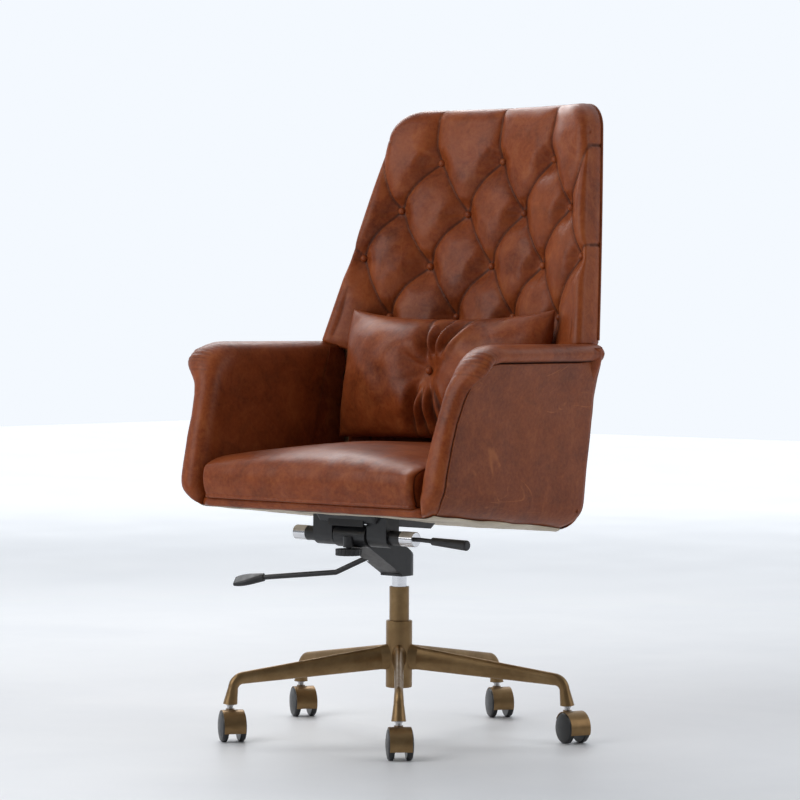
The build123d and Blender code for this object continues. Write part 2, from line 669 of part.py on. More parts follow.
def lower_body(inset):
    """The body's outer limit: round along the lower edges of both sides, and open above the seat."""
    half = BODY_HALF_WIDTH - inset
    with BuildPart() as limit:
        with BuildSketch(BODY_PLANE):
            with BuildLine():
                Polyline((0, 0), (half - BODY_EDGE_R, 0))
                RadiusArc((half - BODY_EDGE_R, 0), (half, BODY_EDGE_R), -BODY_EDGE_R)
                Polyline(
                    (half, BODY_EDGE_R),
                    (half, BODY_FLARE_FROM),
                    (FAR, BODY_FLARE_FROM + FAR - half),
                    (FAR, 2 * FAR),
                    (0, 2 * FAR),
                    (0, 0),
                )
            make_face()
            mirror(about=Plane.YZ)
        extrude(amount=FAR, both=True)
    return limit.part


def above_seat(height):
    """Everything above a plane parallel to the seat's underside."""
    with BuildPart() as space:
        with BuildSketch(SEAT_PLANE.offset(height)):
            Rectangle(2 * FAR, 2 * FAR)
        extrude(amount=2 * FAR)
    return space.part


def back_prism(grow, lower_half_width, bottom):
    """The back's outline seen from the front, as a block that runs through from front to back."""
    top = BACK_TOP_Z + grow
    with BuildPart() as block:
        with BuildSketch(Plane.XZ.offset(FAR / 2)):
            with BuildLine():
                Polyline(
                    (0, bottom),
                    (lower_half_width, bottom),
                    (lower_half_width, BACK_ARM_Z),
                    (BACK_ARM_HALF_WIDTH + grow, BACK_ARM_Z),
                    (BACK_TOP_HALF_WIDTH + grow, top),
                    (0, top),
                    close=True,
                )
            make_face()
            mirror(about=Plane.YZ)
        extrude(amount=-FAR)
        corners = block.edges().filter_by(Axis.Y).group_by(Axis.Z)[-1]
        fillet(corners, BACK_CORNER_R + grow)
    return block.part


def back_layer(front, rear, outline):
    """A bent layer of the back between two depths from its foremost surface."""
    with BuildPart() as layer:
        add(outline)
        add(leaning_disc(BEND_R + rear), mode=Mode.INTERSECT)
        add(leaning_disc(BEND_R + front), mode=Mode.SUBTRACT)
    return layer.part


# ---------------------------------------------------------------- board, cover, rail and cushion

with BuildPart() as seat_board:
    with BuildSketch(SEAT_PLANE):
        with Locations((0, BOARD_FRONT_Y + FAR / 2)):
            Rectangle(2 * BOARD_HALF_WIDTH, FAR)
    extrude(amount=BOARD_HEIGHT)
    add(leaning_disc(BEND_R + FRAME_FROM - GAP), mode=Mode.INTERSECT)
    with BuildSketch(SEAT_PLANE):
        with Locations(*bolt_spots):
            Circle(NUT_BARREL_R)
    extrude(amount=BOARD_HEIGHT, mode=Mode.SUBTRACT)
    with BuildSketch(SEAT_PLANE.offset(BOARD_HEIGHT)):
        with Locations(*bolt_spots):
            Circle(NUT_FLANGE_R)
    extrude(amount=-NUT_FLANGE_HEIGHT, mode=Mode.SUBTRACT)
pieces["seat_board"] = seat_board.part

with BuildPart() as dust_cover:
    with BuildSketch(SEAT_PLANE):
        with Locations((0, BOARD_FRONT_Y + FAR / 2)):
            Rectangle(2 * BOARD_HALF_WIDTH, FAR)
        with Locations(*bolt_spots):
            Circle(BOLT_R, mode=Mode.SUBTRACT)
    extrude(amount=-DUST_COVER)
    add(leaning_disc(BEND_R + FRAME_FROM - GAP), mode=Mode.INTERSECT)
pieces["dust_cover"] = dust_cover.part

with BuildPart() as front_rail:
    with BuildSketch(SEAT_PLANE):
        with Locations((0, BOARD_FRONT_Y - RAIL_DEPTH / 2 - GAP)):
            Rectangle(2 * BOARD_HALF_WIDTH, RAIL_DEPTH)
    extrude(amount=BOARD_HEIGHT)
    fillet(front_rail.edges().filter_by(Axis.X).group_by(Axis.Y)[0], 5)
pieces["front_rail"] = front_rail.part

# (Y, Z) along the cushion's top on the centre line: front edge, crest, and the way to the back
CUSHION_CROWN = ((-232, 527), (-70, CUSHION_TOP_Z), (110, 538))
with BuildPart() as seat_cushion:
    with BuildSketch(Plane.YZ):
        with BuildLine():
            Polyline(
                CUSHION_CROWN[0],
                (CUSHION_FRONT_Y, CUSHION_FRONT_TOP_Z),
                (CUSHION_FRONT_Y, BACK_BOTTOM_Z),
                (FAR / 2, BACK_BOTTOM_Z),
                (FAR / 2, CUSHION_FRONT_TOP_Z),
                CUSHION_CROWN[-1],
            )
            ThreePointArc(*CUSHION_CROWN)
        make_face()
    extrude(amount=CUSHION_HALF_WIDTH, both=True)
    with BuildSketch(Plane.XZ):
        with BuildLine():
            left_top = (CUSHION_HALF_WIDTH, CUSHION_SIDE_TOP_Z)
            right_top = (-CUSHION_HALF_WIDTH, CUSHION_SIDE_TOP_Z)
            left_low = (CUSHION_HALF_WIDTH, BACK_BOTTOM_Z)
            right_low = (-CUSHION_HALF_WIDTH, BACK_BOTTOM_Z)
            Polyline(right_top, right_low, left_low, left_top)
            ThreePointArc(right_top, (0, CUSHION_TOP_Z + 1), left_top)
        make_face()
    extrude(amount=FAR, both=True, mode=Mode.INTERSECT)
    add(above_seat(BOARD_HEIGHT + GAP), mode=Mode.INTERSECT)
    add(leaning_disc(BEND_R - GAP), mode=Mode.INTERSECT)
    fillet(seat_cushion.edges().filter_by(Axis.Z), CUSHION_CORNER_R)
pieces["seat_cushion"] = seat_cushion.part

# ---------------------------------------------------------------- arms

ARM_TOP_Z = 729
ARM_SEAM_Z = 697
ARM_FRONT = ((-262, 446), (-252, 500), (-238, 560))
ARM_FRONT_LEAN = 0.26
ARM_LOW_FRONT = (-251, underside_z(-251))
ARM_REAR_LOW_Y = 142
ARM_REAR_LEAN = 0.177
# (half-width, height) round the arm's section seen from the front, from the lip's top to its seam
ARM_SECTION = (
    (335, ARM_TOP_Z),
    (294, ARM_TOP_Z),
    (284, 716),
    (279, 680),
    (264, 500),
    (261, 340),
    (BODY_HALF_WIDTH, 340),
    (BODY_HALF_WIDTH, 590),
    (327, 668),
    (336, ARM_SEAM_Z),
)
ARM_LIP_X = 355
ARM_LIP_Z = 713
ARM_CORNER_R = 60
REAR_CORNER_R = 45
BORDER_DEPTH = 22


def arm_section(shift):
    """The left arm's section seen from the front, run from front to back, moved inward by shift."""
    points = [(x - shift, z) for x, z in ARM_SECTION]
    with BuildPart() as section:
        with BuildSketch(Plane.XZ):
            with BuildLine():
                Polyline(*points)
                ThreePointArc(points[-1], (ARM_LIP_X - shift, ARM_LIP_Z), points[0])
            make_face()
        extrude(amount=FAR, both=True)
        add(lower_body(shift), mode=Mode.INTERSECT)
    return section.part


def arm_side(front_inset, top, corner_r):
    """The arm's outline seen from the side, as a block that runs across the chair."""
    last_y, last_z = ARM_FRONT[-1]
    corner = (last_y + ARM_FRONT_LEAN * (top - last_z), top)
    front = [(y + front_inset, z) for y, z in (ARM_LOW_FRONT, *ARM_FRONT, corner)]
    rear_low = (ARM_REAR_LOW_Y, underside_z(ARM_REAR_LOW_Y))
    rear_top = (ARM_REAR_LOW_Y + ARM_REAR_LEAN * (top - rear_low[1]), top)
    with BuildPart() as block:
        with BuildSketch(Plane.YZ) as outline:
            with BuildLine():
                Polyline(*front, rear_top, rear_low, close=True)
            make_face()
            fillet(outline.vertices().group_by(Axis.Y)[-1].sort_by(Axis.X)[0], corner_r)
            fillet(outline.vertices().sort_by(Axis.Y)[0], REAR_CORNER_R)
        extrude(amount=FAR)
    return block.part


arm_block = arm_section(0)
side_zone = arm_side(0, ARM_TOP_Z, ARM_CORNER_R)

with BuildPart() as side_panel:
    add(arm_block)
    add(arm_section(SIDE_PANEL), mode=Mode.SUBTRACT)
    add(arm_side(BORDER_DEPTH, ARM_SEAM_Z - GAP, ARM_CORNER_R - BORDER_DEPTH / 2), mode=Mode.INTERSECT)
    add(leaning_disc(BEND_R + BACK_THICKNESS), mode=Mode.INTERSECT)

with BuildPart() as arm_frame:
    add(arm_section(SIDE_PANEL))
    add(arm_section(SIDE_PANEL + ARM_FRAME), mode=Mode.SUBTRACT)
    add(arm_side(BORDER_DEPTH + 4, ARM_SEAM_Z - 6, ARM_CORNER_R - BORDER_DEPTH / 2), mode=Mode.INTERSECT)
    add(leaning_disc(BEND_R + FRAME_FROM - GAP), mode=Mode.INTERSECT)
    add(above_seat(BODY_EDGE_R), mode=Mode.INTERSECT)

with BuildPart() as arm_pad:
    add(arm_block)
    add(side_zone, mode=Mode.INTERSECT)
    add(leaning_disc(BEND_R + FRAME_FROM - GAP), mode=Mode.INTERSECT)
    add(side_panel.part, mode=Mode.SUBTRACT)
    add(arm_frame.part, mode=Mode.SUBTRACT)

for name, piece in (("side_panel", side_panel), ("arm_frame", arm_frame), ("arm_pad", arm_pad)):
    pieces[f"{name}_left"] = piece.part
    pieces[f"{name}_right"] = piece.part.mirror(Plane.YZ)

# ---------------------------------------------------------------- back

inner_half_width = BODY_HALF_WIDTH - SIDE_PANEL - GAP
full_outline = back_prism(0, inner_half_width, BACK_BOTTOM_Z)
frame_outline = back_prism(-FRAME_INSET, inner_half_width, BACK_BOTTOM_Z)
low_limit = lower_body(SIDE_PANEL + GAP)
rear_space = above_seat(REAR_CORNER_R)

with BuildPart() as back_frame:
    add(back_layer(FRAME_FROM, FRAME_TO, frame_outline))
    add(low_limit, mode=Mode.INTERSECT)
    add(rear_space, mode=Mode.INTERSECT)
pieces["back_frame"] = back_frame.part

with BuildPart() as rear_panel:
    add(back_layer(FRAME_TO, BACK_THICKNESS, full_outline))
    add(low_limit, mode=Mode.INTERSECT)
    add(rear_space, mode=Mode.INTERSECT)
pieces["rear_panel"] = rear_panel.part

button_planes = []
for height, count in BUTTON_ROWS:
    for column in range(count):
        x = (column - (count - 1) / 2) * BUTTON_PITCH
        reach = BEND_R + TUFT_DEPTH
        y = crest_y(height) - BEND_R + sqrt(reach**2 - x**2)
        inward = Vector(x, sqrt(reach**2 - x**2), 0).normalized()
        button_planes.append(Plane(origin=(x, y, height), x_dir=(0, 0, 1), z_dir=inward))

with BuildPart() as back_cushion:
    add(back_layer(0, FRAME_TO - GAP, back_prism(0, BACK_LOWER_HALF_WIDTH, BACK_BOTTOM_Z)))
    add(above_seat(BOARD_HEIGHT + GAP), mode=Mode.INTERSECT)
    add(back_frame.part, mode=Mode.SUBTRACT)
    for plane in button_planes:
        with BuildSketch(plane):
            Circle(BUTTON_R + GAP)
        extrude(amount=-TUFT_DEPTH - BUTTON_HEIGHT, taper=-45, mode=Mode.SUBTRACT)
pieces["back_cushion"] = back_cushion.part

with BuildPart() as back_buttons:
    for plane in button_planes:
        with BuildSketch(plane):
            Circle(BUTTON_R)
        extrude(amount=-BUTTON_HEIGHT)
    fillet(back_buttons.edges().filter_by(GeomType.CIRCLE), BUTTON_EDGE)
pieces["back_buttons"] = back_buttons.part

welt_outline = back_prism(WELT_PROUD, inner_half_width, BACK_BOTTOM_Z)
with BuildPart() as back_welt:
    add(back_layer(BACK_THICKNESS - WELT_WIDTH, BACK_THICKNESS, welt_outline))
    add(full_outline, mode=Mode.SUBTRACT)
pieces["back_welt"] = back_welt.part

# ---------------------------------------------------------------- pillow

with BuildPart() as lumbar_pillow:
    stations = [(-x, half) for x, half in reversed(PILLOW_STATIONS)] + list(PILLOW_STATIONS[1:])
    for x, half_thickness in stations:
        upright = Plane(origin=(x, PILLOW_CENTRE[1], PILLOW_CENTRE[2]), x_dir=LEAN_DIRECTION, z_dir=(1, 0, 0))
        with BuildSketch(upright):
            Ellipse(PILLOW_HALF_HEIGHT, half_thickness)
    loft()
    front_plane = Plane(
        origin=(0, PILLOW_CENTRE[1] - PILLOW_STATIONS[0][1] + PILLOW_TUFT, PILLOW_CENTRE[2]),
        x_dir=(1, 0, 0),
        z_dir=(0, -LEAN_DIRECTION[2], LEAN_DIRECTION[1]),
    )
    with BuildSketch(front_plane):
        Circle(BUTTON_R + GAP)
    extrude(amount=2 * PILLOW_TUFT, taper=-45, mode=Mode.SUBTRACT)
pieces["lumbar_pillow"] = lumbar_pillow.part

with BuildPart() as pillow_button:
    with BuildSketch(front_plane):
        Circle(BUTTON_R)
    extrude(amount=BUTTON_HEIGHT)
    fillet(pillow_button.edges().filter_by(GeomType.CIRCLE), BUTTON_EDGE)
pieces["pillow_button"] = pillow_button.part

# ---------------------------------------------------------------- files

os.makedirs("parts", exist_ok=True)
for name, part in pieces.items():
    part.label = name
    export_step(part, f"parts/{name}.step")
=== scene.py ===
import json
from math import asin, cos, hypot, pi, radians, sin, sqrt

import bmesh
import bpy
import numpy as np
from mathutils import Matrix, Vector, noise


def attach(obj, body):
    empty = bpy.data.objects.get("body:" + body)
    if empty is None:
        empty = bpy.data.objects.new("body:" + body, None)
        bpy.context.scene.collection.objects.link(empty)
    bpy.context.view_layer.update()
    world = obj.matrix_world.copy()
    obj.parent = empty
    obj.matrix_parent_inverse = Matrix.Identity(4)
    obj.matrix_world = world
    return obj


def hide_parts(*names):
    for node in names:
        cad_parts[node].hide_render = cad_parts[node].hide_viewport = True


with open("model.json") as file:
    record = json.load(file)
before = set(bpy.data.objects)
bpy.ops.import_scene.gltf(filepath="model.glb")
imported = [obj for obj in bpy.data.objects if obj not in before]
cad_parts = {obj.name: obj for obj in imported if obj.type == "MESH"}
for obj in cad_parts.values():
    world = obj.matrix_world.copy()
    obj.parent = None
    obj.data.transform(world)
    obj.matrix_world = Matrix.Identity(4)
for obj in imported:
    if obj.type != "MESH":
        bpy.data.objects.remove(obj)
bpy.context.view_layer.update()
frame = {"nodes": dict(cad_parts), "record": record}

# The leather chair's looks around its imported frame. Metres; the origin is on the floor under the swivel
# axis, +Z is up, the sitter faces -Y, and +X is on the sitter's left.

nodes = frame["nodes"]
scene = bpy.context.scene

# ---- driving dimensions

# Back: a slab bent about an upright axis, leaning back. Depths are behind its foremost surface.
BEND_R = 0.520
LEAN = 0.17
CREST_Y_AT_FLOOR = 0.103
BACK_TOP_Z = 1.181
BACK_TOP_HALF_WIDTH = 0.233
BACK_CORNER_R = 0.058
BACK_ARM_Z = 0.730
BACK_ARM_HALF_WIDTH = 0.318
BACK_LOWER_HALF_WIDTH = 0.254
BACK_LOWEST_Z = 0.44
BACK_EDGE_R = 0.024
BACK_SEAM_DEPTH = 0.0545
REAR_DEPTH = 0.060

# Buttons: rows of a diamond pattern, (height, buttons in the row)
BUTTON_ROWS = ((1.077, 3), (0.976, 4), (0.875, 5), (0.777, 4))
BUTTON_PITCH = 0.138
# the outer buttons of the middle rows: how much higher and further in they sit, the height at which a
# fold runs from each to the back's edge, that fold's bow and how shallow it is in its middle
OUTER_BUTTONS = {0.976: (0.008, 0.0, 1.100, -0.006, 0.45), 0.875: (0.016, 0.010, 0.912, 0.004, 0.40)}
BUTTON_R = 0.0072
BUTTON_DEPTH = 0.020
TUFT_HEIGHT = 0.029

# Seat underside: a plane that falls towards the back, and the body's round lower edges
SEAT_PLANE_Z = 0.400
SEAT_FALL = sin(radians(6.2)) / cos(radians(6.2))
BODY_HALF_WIDTH = 0.314
BODY_EDGE_R = 0.055
REAR_CORNER_R = 0.045


def crest_y(z):
    """Y of the back's foremost surface on the centre line at height z."""
    return CREST_Y_AT_FLOOR + LEAN * z


def back_y(x, z, depth):
    """Y of the back at a depth behind its foremost surface."""
    return crest_y(z) - BEND_R + np.sqrt((BEND_R + depth) ** 2 - x**2)


def underside_z(y):
    """Height of the seat's underside at y."""
    return SEAT_PLANE_Z - y * SEAT_FALL


def smooth_step(low, high, value):
    """0 below low, 1 above high, and smooth between."""
    t = np.clip((value - low) / (high - low), 0, 1)
    return t * t * (3 - 2 * t)


# ---- mesh helpers


def xyz(x, y, z):
    """Points from their coordinates, of which any may be a single number."""
    return np.stack(np.broadcast_arrays(x, y, z), axis=-1)


def new_piece(name, points, faces, material, fold_shade=None, weld=1e-6):
    """A smooth-shaded mesh object; the optional per-point values darken the leather's colour in folds as
    painted shade.
    """
    mesh = bpy.data.meshes.new(name)
    mesh.from_pydata([tuple(p) for p in points], [], faces)
    if fold_shade is not None:
        mesh.attributes.new("fold_shade", "FLOAT", "POINT").data.foreach_set("value", np.asarray(fold_shade, np.float32))
    work = bmesh.new()
    work.from_mesh(mesh)
    if weld:
        bmesh.ops.remove_doubles(work, verts=work.verts, dist=weld)
    bmesh.ops.recalc_face_normals(work, faces=work.faces)
    work.to_mesh(mesh)
    work.free()
    mesh.shade_smooth()
    mesh.materials.append(material)
    piece = bpy.data.objects.new(name, mesh)
    scene.collection.objects.link(piece)
    return piece


def grid_faces(rows, columns, close_rows=False, close_columns=False, start=0):
    """Quads of a grid whose points are listed row by row."""
    faces = []
    for i in range(rows if close_rows else rows - 1):
        for j in range(columns if close_columns else columns - 1):
            a = start + i * columns + j
            b = start + i * columns + (j + 1) % columns
            c = start + ((i + 1) % rows) * columns + (j + 1) % columns
            d = start + ((i + 1) % rows) * columns + j
            faces.append((a, b, c, d))
    return faces


def ring_piece(name, rings, material, fold_shade=None, weld=1e-6):
    """A closed piece made of rings of as many points each, with a flat face over each end."""
    count = len(rings[0])
    points = np.concatenate(rings)
    faces = grid_faces(len(rings), count, close_columns=True)
    faces += [tuple(range(count)), tuple(range(len(points) - count, len(points)))]
    return new_piece(name, points, faces, material, fold_shade, weld)


def curve_through(points, count, closed=False):
    """count points on a smooth curve through the given ones, as an array."""
    points = np.array(points, float)
    n = len(points)
    spans = n if closed else n - 1
    t = np.linspace(0, spans, count, endpoint=not closed)
    i = np.minimum(t.astype(int), spans - 1)
    f = (t - i)[:, None]
    a, b, c, d = (points[(i + k) % n if closed else np.clip(i + k, 0, n - 1)] for k in (-1, 0, 1, 2))
    return 0.5 * (2 * b + (c - a) * f + (2 * a - 5 * b + 4 * c - d) * f**2 + (3 * b - a - 3 * c + d) * f**3)


def evenly(points, step):
    """A polyline's points moved to an even spacing of about step."""
    points = np.array(points, float)
    lengths = np.r_[0, np.cumsum(np.linalg.norm(np.diff(points, axis=0), axis=1))]
    spots = np.linspace(0, lengths[-1], max(2, round(lengths[-1] / step) + 1))
    return np.stack([np.interp(spots, lengths, points[:, k]) for k in range(points.shape[1])], axis=1)


def rounded(corners, steps=10):
    """A polyline whose corners, given as (u, v, radius), are replaced by arcs."""
    path = [np.array(corners[0][:2], float)]
    for before, corner, after in zip(corners, corners[1:], corners[2:]):
        at = np.array(corner[:2], float)
        back = np.array(before[:2], float) - at
        on = np.array(after[:2], float) - at
        back /= np.linalg.norm(back)
        on /= np.linalg.norm(on)
        half = np.arccos(np.clip(back @ on, -1, 1)) / 2
        radius = corner[2]
        if radius == 0 or half > pi / 2 - 0.01:
            path.append(at)
            continue
        reach = radius / np.tan(half)
        centre = at + (back + on) / np.linalg.norm(back + on) * radius / np.sin(half)
        first = at + back * reach - centre
        last = at + on * reach - centre
        sweep = pi - 2 * half
        for k in range(steps + 1):
            a = sweep * k / steps
            path.append(centre + (first * sin(sweep - a) + last * sin(a)) / sin(sweep))
    path.append(np.array(corners[-1][:2], float))
    return np.array(path)


def tube(name, path, radius, material, sides=10):
    """A round cord of piping along a path of points."""
    path = np.array(path, float)
    along = np.gradient(path, axis=0)
    along /= np.linalg.norm(along, axis=1)[:, None]
    normal = np.cross(along[0], (0.3, 0.5, 0.81))
    turns = 2 * pi * np.arange(sides)[:, None] / sides
    rings = []
    for point, direction in zip(path, along):
        normal = normal - direction * (normal @ direction)
        normal /= np.linalg.norm(normal)
        side = np.cross(direction, normal)
        rings.append(point + radius * (np.cos(turns) * normal + np.sin(turns) * side))
    return ring_piece(name, rings, material)


def wavy(points, size, height, seed):
    """Smooth random numbers for points: height times a noise of the given size."""
    shift = Vector((seed * 7.3, seed * 3.1, seed * 5.7))
    return height * np.array([noise.noise(Vector(p) / size + shift) for p in points])


def subdivide(piece):
    """Adds a subdivision surface, and applies it."""
    modifier = piece.modifiers.new("subdivision", "SUBSURF")
    modifier.levels = 1
    modifier.render_levels = 1
    apply_modifiers(piece)


def apply_modifiers(piece):
    """Turns a piece's modifiers into its mesh."""
    graph = bpy.context.evaluated_depsgraph_get()
    mesh = bpy.data.meshes.new_from_object(piece.evaluated_get(graph))
    piece.modifiers.clear()
    piece.data = mesh


# ---- materials


class Nodes:
    """A short way to write a material's nodes."""

    def __init__(self, name, **shader_values):
        self.material = bpy.data.materials.new(name)
        self.material.use_nodes = True
        self.tree = self.material.node_tree
        self.shader = self.tree.nodes["Principled BSDF"]
        for socket, value in shader_values.items():
            self.shader.inputs[socket.replace("_", " ")].default_value = value
        self.place = self.tree.nodes.new("ShaderNodeTexCoord").outputs["Object"]

    def link(self, source, target):
        self.tree.links.new(source, target)

    def put(self, kind, inputs=(), **settings):
        """Adds a node, sets its properties, and links or sets its inputs."""
        node = self.tree.nodes.new(kind)
        for key, value in settings.items():
            setattr(node, key, value)
        for key, value in dict(inputs).items():
            if isinstance(value, bpy.types.NodeSocket):
                self.link(value, node.inputs[key])
            else:
                node.inputs[key].default_value = value
        return node

    def noise(self, scale, detail=4.0, roughness=0.55, distortion=0.0, place=None):
        """A noise texture's value."""
        inputs = {"Vector": place or self.place, "Scale": scale, "Detail": detail}
        inputs |= {"Roughness": roughness, "Distortion": distortion}
        return self.put("ShaderNodeTexNoise", inputs).outputs["Fac"]

    def wave(self, scale, distortion, axis):
        """Bands across an axis."""
        inputs = {"Vector": self.place, "Scale": scale, "Distortion": distortion}
        return self.put("ShaderNodeTexWave", inputs, bands_direction=axis).outputs["Fac"]

    def stretched(self, scale, turn=(0, 0, 0)):
        """The place, scaled differently along each axis."""
        inputs = {"Vector": self.place, "Scale": scale, "Rotation": turn}
        return self.put("ShaderNodeMapping", inputs).outputs["Vector"]

    def ramp(self, value, stops):
        """A value turned into a colour through stops of (position, colour)."""
        node = self.put("ShaderNodeValToRGB", {"Fac": value})
        elements = node.color_ramp.elements
        while len(elements) < len(stops):
            elements.new(0.5)
        for element, (position, colour) in zip(elements, stops):
            element.position = position
            element.color = (*colour, 1)
        return node.outputs["Color"]

    def between(self, value, low, high, out_low=0.0, out_high=1.0):
        """A value mapped from one range to another, clamped."""
        inputs = {"Value": value, "From Min": low, "From Max": high, "To Min": out_low, "To Max": out_high}
        return self.put("ShaderNodeMapRange", inputs).outputs["Result"]

    def mix(self, factor, a, b):
        """Two colours mixed by a factor."""
        node = self.put("ShaderNodeMix", data_type="RGBA")
        for index, value in ((0, factor), (6, a), (7, b)):
            if isinstance(value, bpy.types.NodeSocket):
                self.link(value, node.inputs[index])
            else:
                node.inputs[index].default_value = value if index == 0 else (*value, 1)
        return node.outputs[2]

    def maths(self, operation, a, b=0.5):
        """A sum, product or other operation on two values."""
        return self.put("ShaderNodeMath", {0: a, 1: b}, operation=operation).outputs[0]

    def bump(self, height, distance, strength=1.0, normal=None):
        """A bump from a height value, on top of another one."""
        inputs = {"Height": height, "Distance": distance, "Strength": strength}
        if normal is not None:
            inputs["Normal"] = normal
        return self.put("ShaderNodeBump", inputs).outputs["Normal"]

    def finish(self, colour=None, roughness=None, normal=None):
        """Links what was made to the shader."""
        for socket, value in (("Base Color", colour), ("Roughness", roughness), ("Normal", normal)):
            if value is not None:
                self.link(value, self.shader.inputs[socket])
        return self.material


LEATHER_DARK = (0.085, 0.0130, 0.0035)
LEATHER_MIDDLE = (0.215, 0.040, 0.0090)
LEATHER_LIGHT = (0.340, 0.078, 0.017)
LEATHER_WORN = (0.430, 0.135, 0.040)
# painted shade: a dark brown that each leather is mixed towards by its own amount
LEATHER_PAINTED_SHADE = (0.110, 0.028, 0.011)
# painted shade: the near black that the leather turns to in its folds
LEATHER_FOLD_SHADE = (0.012, 0.003, 0.002)
# each layer of scuffs: the way its lines run, and their fineness
SCUFFS = (((0.3, 0.2, 0.5), 52), ((1.2, 0.7, -0.6), 64), ((0.7, -0.5, 1.4), 46))
SCUFF_LENGTH = 0.055


def leather(name, shift, painted_shade, scratches):
    """Waxed pull-up leather: cloudy browns, worn light where it is stretched, with painted shade in its folds
    and painted shade over all by a set amount.
    """
    n = Nodes(name, Coat_Weight=0.04, Coat_Roughness=0.25, Specular_IOR_Level=0.20)
    n.place = n.put("ShaderNodeMapping", {"Vector": n.place, "Location": (shift, shift * 0.7, 0)}).outputs[0]
    clouds = n.noise(7.5, 5, 0.6, 0.6)
    patches = n.noise(24, 6, 0.65, 0.9)
    colour = n.ramp(clouds, ((0.28, LEATHER_DARK), (0.47, LEATHER_MIDDLE), (0.70, LEATHER_LIGHT)))
    patchy = n.ramp(patches, ((0.34, LEATHER_DARK), (0.52, LEATHER_MIDDLE), (0.74, LEATHER_WORN)))
    colour = n.mix(0.42, colour, patchy)
    # painted shade: the whole leather darkened by a set amount
    colour = n.mix(painted_shade, colour, LEATHER_PAINTED_SHADE)
    fine = n.noise(150, 5, 0.7)
    colour = n.mix(n.between(fine, 0.35, 0.75, 0, 0.30), colour, LEATHER_WORN)
    # thin light scuffs that cross each other
    for turn, size in SCUFFS:
        long = size * SCUFF_LENGTH
        lines = n.noise(1.0, 2, 0.5, 0.15, n.stretched((size, long, long), turn))
        thin = n.between(n.maths("ABSOLUTE", n.maths("SUBTRACT", lines, 0.47)), 0.0, 0.006, scratches, 0)
        somewhere = n.between(n.noise(9 + size / 10, 3, 0.6), 0.50, 0.60)
        colour = n.mix(n.maths("MULTIPLY", thin, somewhere), colour, LEATHER_WORN)
    pores = n.put("ShaderNodeTexVoronoi", {"Vector": n.place, "Scale": 620.0}).outputs["Distance"]
    grain = n.noise(260, 4, 0.6)
    rough = n.between(n.noise(16, 4, 0.6), 0.3, 0.7, 0.34, 0.47)
    normal = n.bump(n.noise(46, 5, 0.65, 0.4), 0.0011, 0.35)
    normal = n.bump(grain, 0.00035, 0.30, normal)
    normal = n.bump(pores, 0.00022, 0.28, normal)
    # painted shade: darker towards near black where the fold attribute is high
    depth = n.put("ShaderNodeAttribute", attribute_name="fold_shade").outputs["Fac"]
    colour = n.mix(n.between(depth, 0.15, 1.0, 0, 0.9), colour, LEATHER_FOLD_SHADE)
    rough = n.maths("ADD", rough, n.between(depth, 0.3, 1.0, 0, 0.25))
    return n.finish(colour, rough, normal)


def bronze(name):
    """Antique bronze paint on metal, a little uneven."""
    n = Nodes(name, Metallic=0.85, Specular_IOR_Level=0.5)
    tone = n.noise(22, 5, 0.6, 0.3)
    stops = ((0.3, (0.200, 0.120, 0.052)), (0.6, (0.270, 0.172, 0.080)), (0.8, (0.340, 0.225, 0.110)))
    rough = n.between(n.noise(60, 4, 0.6), 0.3, 0.7, 0.30, 0.44)
    normal = n.bump(n.noise(420, 3, 0.6), 0.00015, 0.35)
    return n.finish(n.ramp(tone, stops), rough, normal)


def metal(name, colour, low, high, brushed=0.0):
    """Chrome or steel, with faint wipe marks."""
    n = Nodes(name, Metallic=1.0)
    tone = n.noise(30, 4, 0.6)
    shade = tuple(c * 0.8 for c in colour)
    rough = n.between(n.noise(1.0, 4, 0.7, 0.2, n.stretched((60, 60, 400))), 0.3, 0.7, low, high)
    normal = n.bump(n.noise(1.0, 3, 0.6, 0, n.stretched((900, 900, 60))), 0.00005, brushed)
    return n.finish(n.mix(n.between(tone, 0.35, 0.65), shade, colour), rough, normal)


def black(name, colour, low, high, grain, strength):
    """Black paint or plastic with an orange-peel or moulded surface."""
    n = Nodes(name, Specular_IOR_Level=0.5)
    tone = n.noise(35, 5, 0.6)
    lighter = tuple(c * 2.2 for c in colour)
    rough = n.between(n.noise(80, 4, 0.6), 0.3, 0.7, low, high)
    normal = n.bump(n.noise(grain, 3, 0.6), 0.0002, strength)
    return n.finish(n.mix(n.between(tone, 0.35, 0.75, 0, 0.6), colour, lighter), rough, normal)


def dust_cloth(name):
    """Thin cream lining cloth with a plain weave."""
    n = Nodes(name, Sheen_Weight=0.3, Specular_IOR_Level=0.2)
    weave = n.maths("MULTIPLY", n.wave(260.0, 0.6, "X"), n.wave(260.0, 0.6, "Y"))
    stains = n.noise(14, 5, 0.6, 0.3)
    stops = ((0.3, (0.42, 0.34, 0.24)), (0.55, (0.60, 0.51, 0.38)), (0.8, (0.70, 0.62, 0.49)))
    rough = n.between(weave, 0, 1, 0.75, 0.95)
    return n.finish(n.ramp(stains, stops), rough, n.bump(weave, 0.0003, 0.5))


def plywood(name):
    """Layered wood: thin plies and grain."""
    n = Nodes(name, Specular_IOR_Level=0.3)
    plies = n.wave(190.0, 1.0, "Z")
    grain = n.noise(1.0, 6, 0.7, 0.5, n.stretched((220, 18, 220)))
    colour = n.ramp(grain, ((0.3, (0.34, 0.20, 0.10)), (0.7, (0.60, 0.42, 0.24))))
    colour = n.mix(n.between(plies, 0.3, 0.7, 0, 0.35), colour, (0.30, 0.18, 0.09))
    rough = n.between(grain, 0.2, 0.8, 0.55, 0.75)
    return n.finish(colour, rough, n.bump(grain, 0.0003, 0.4))


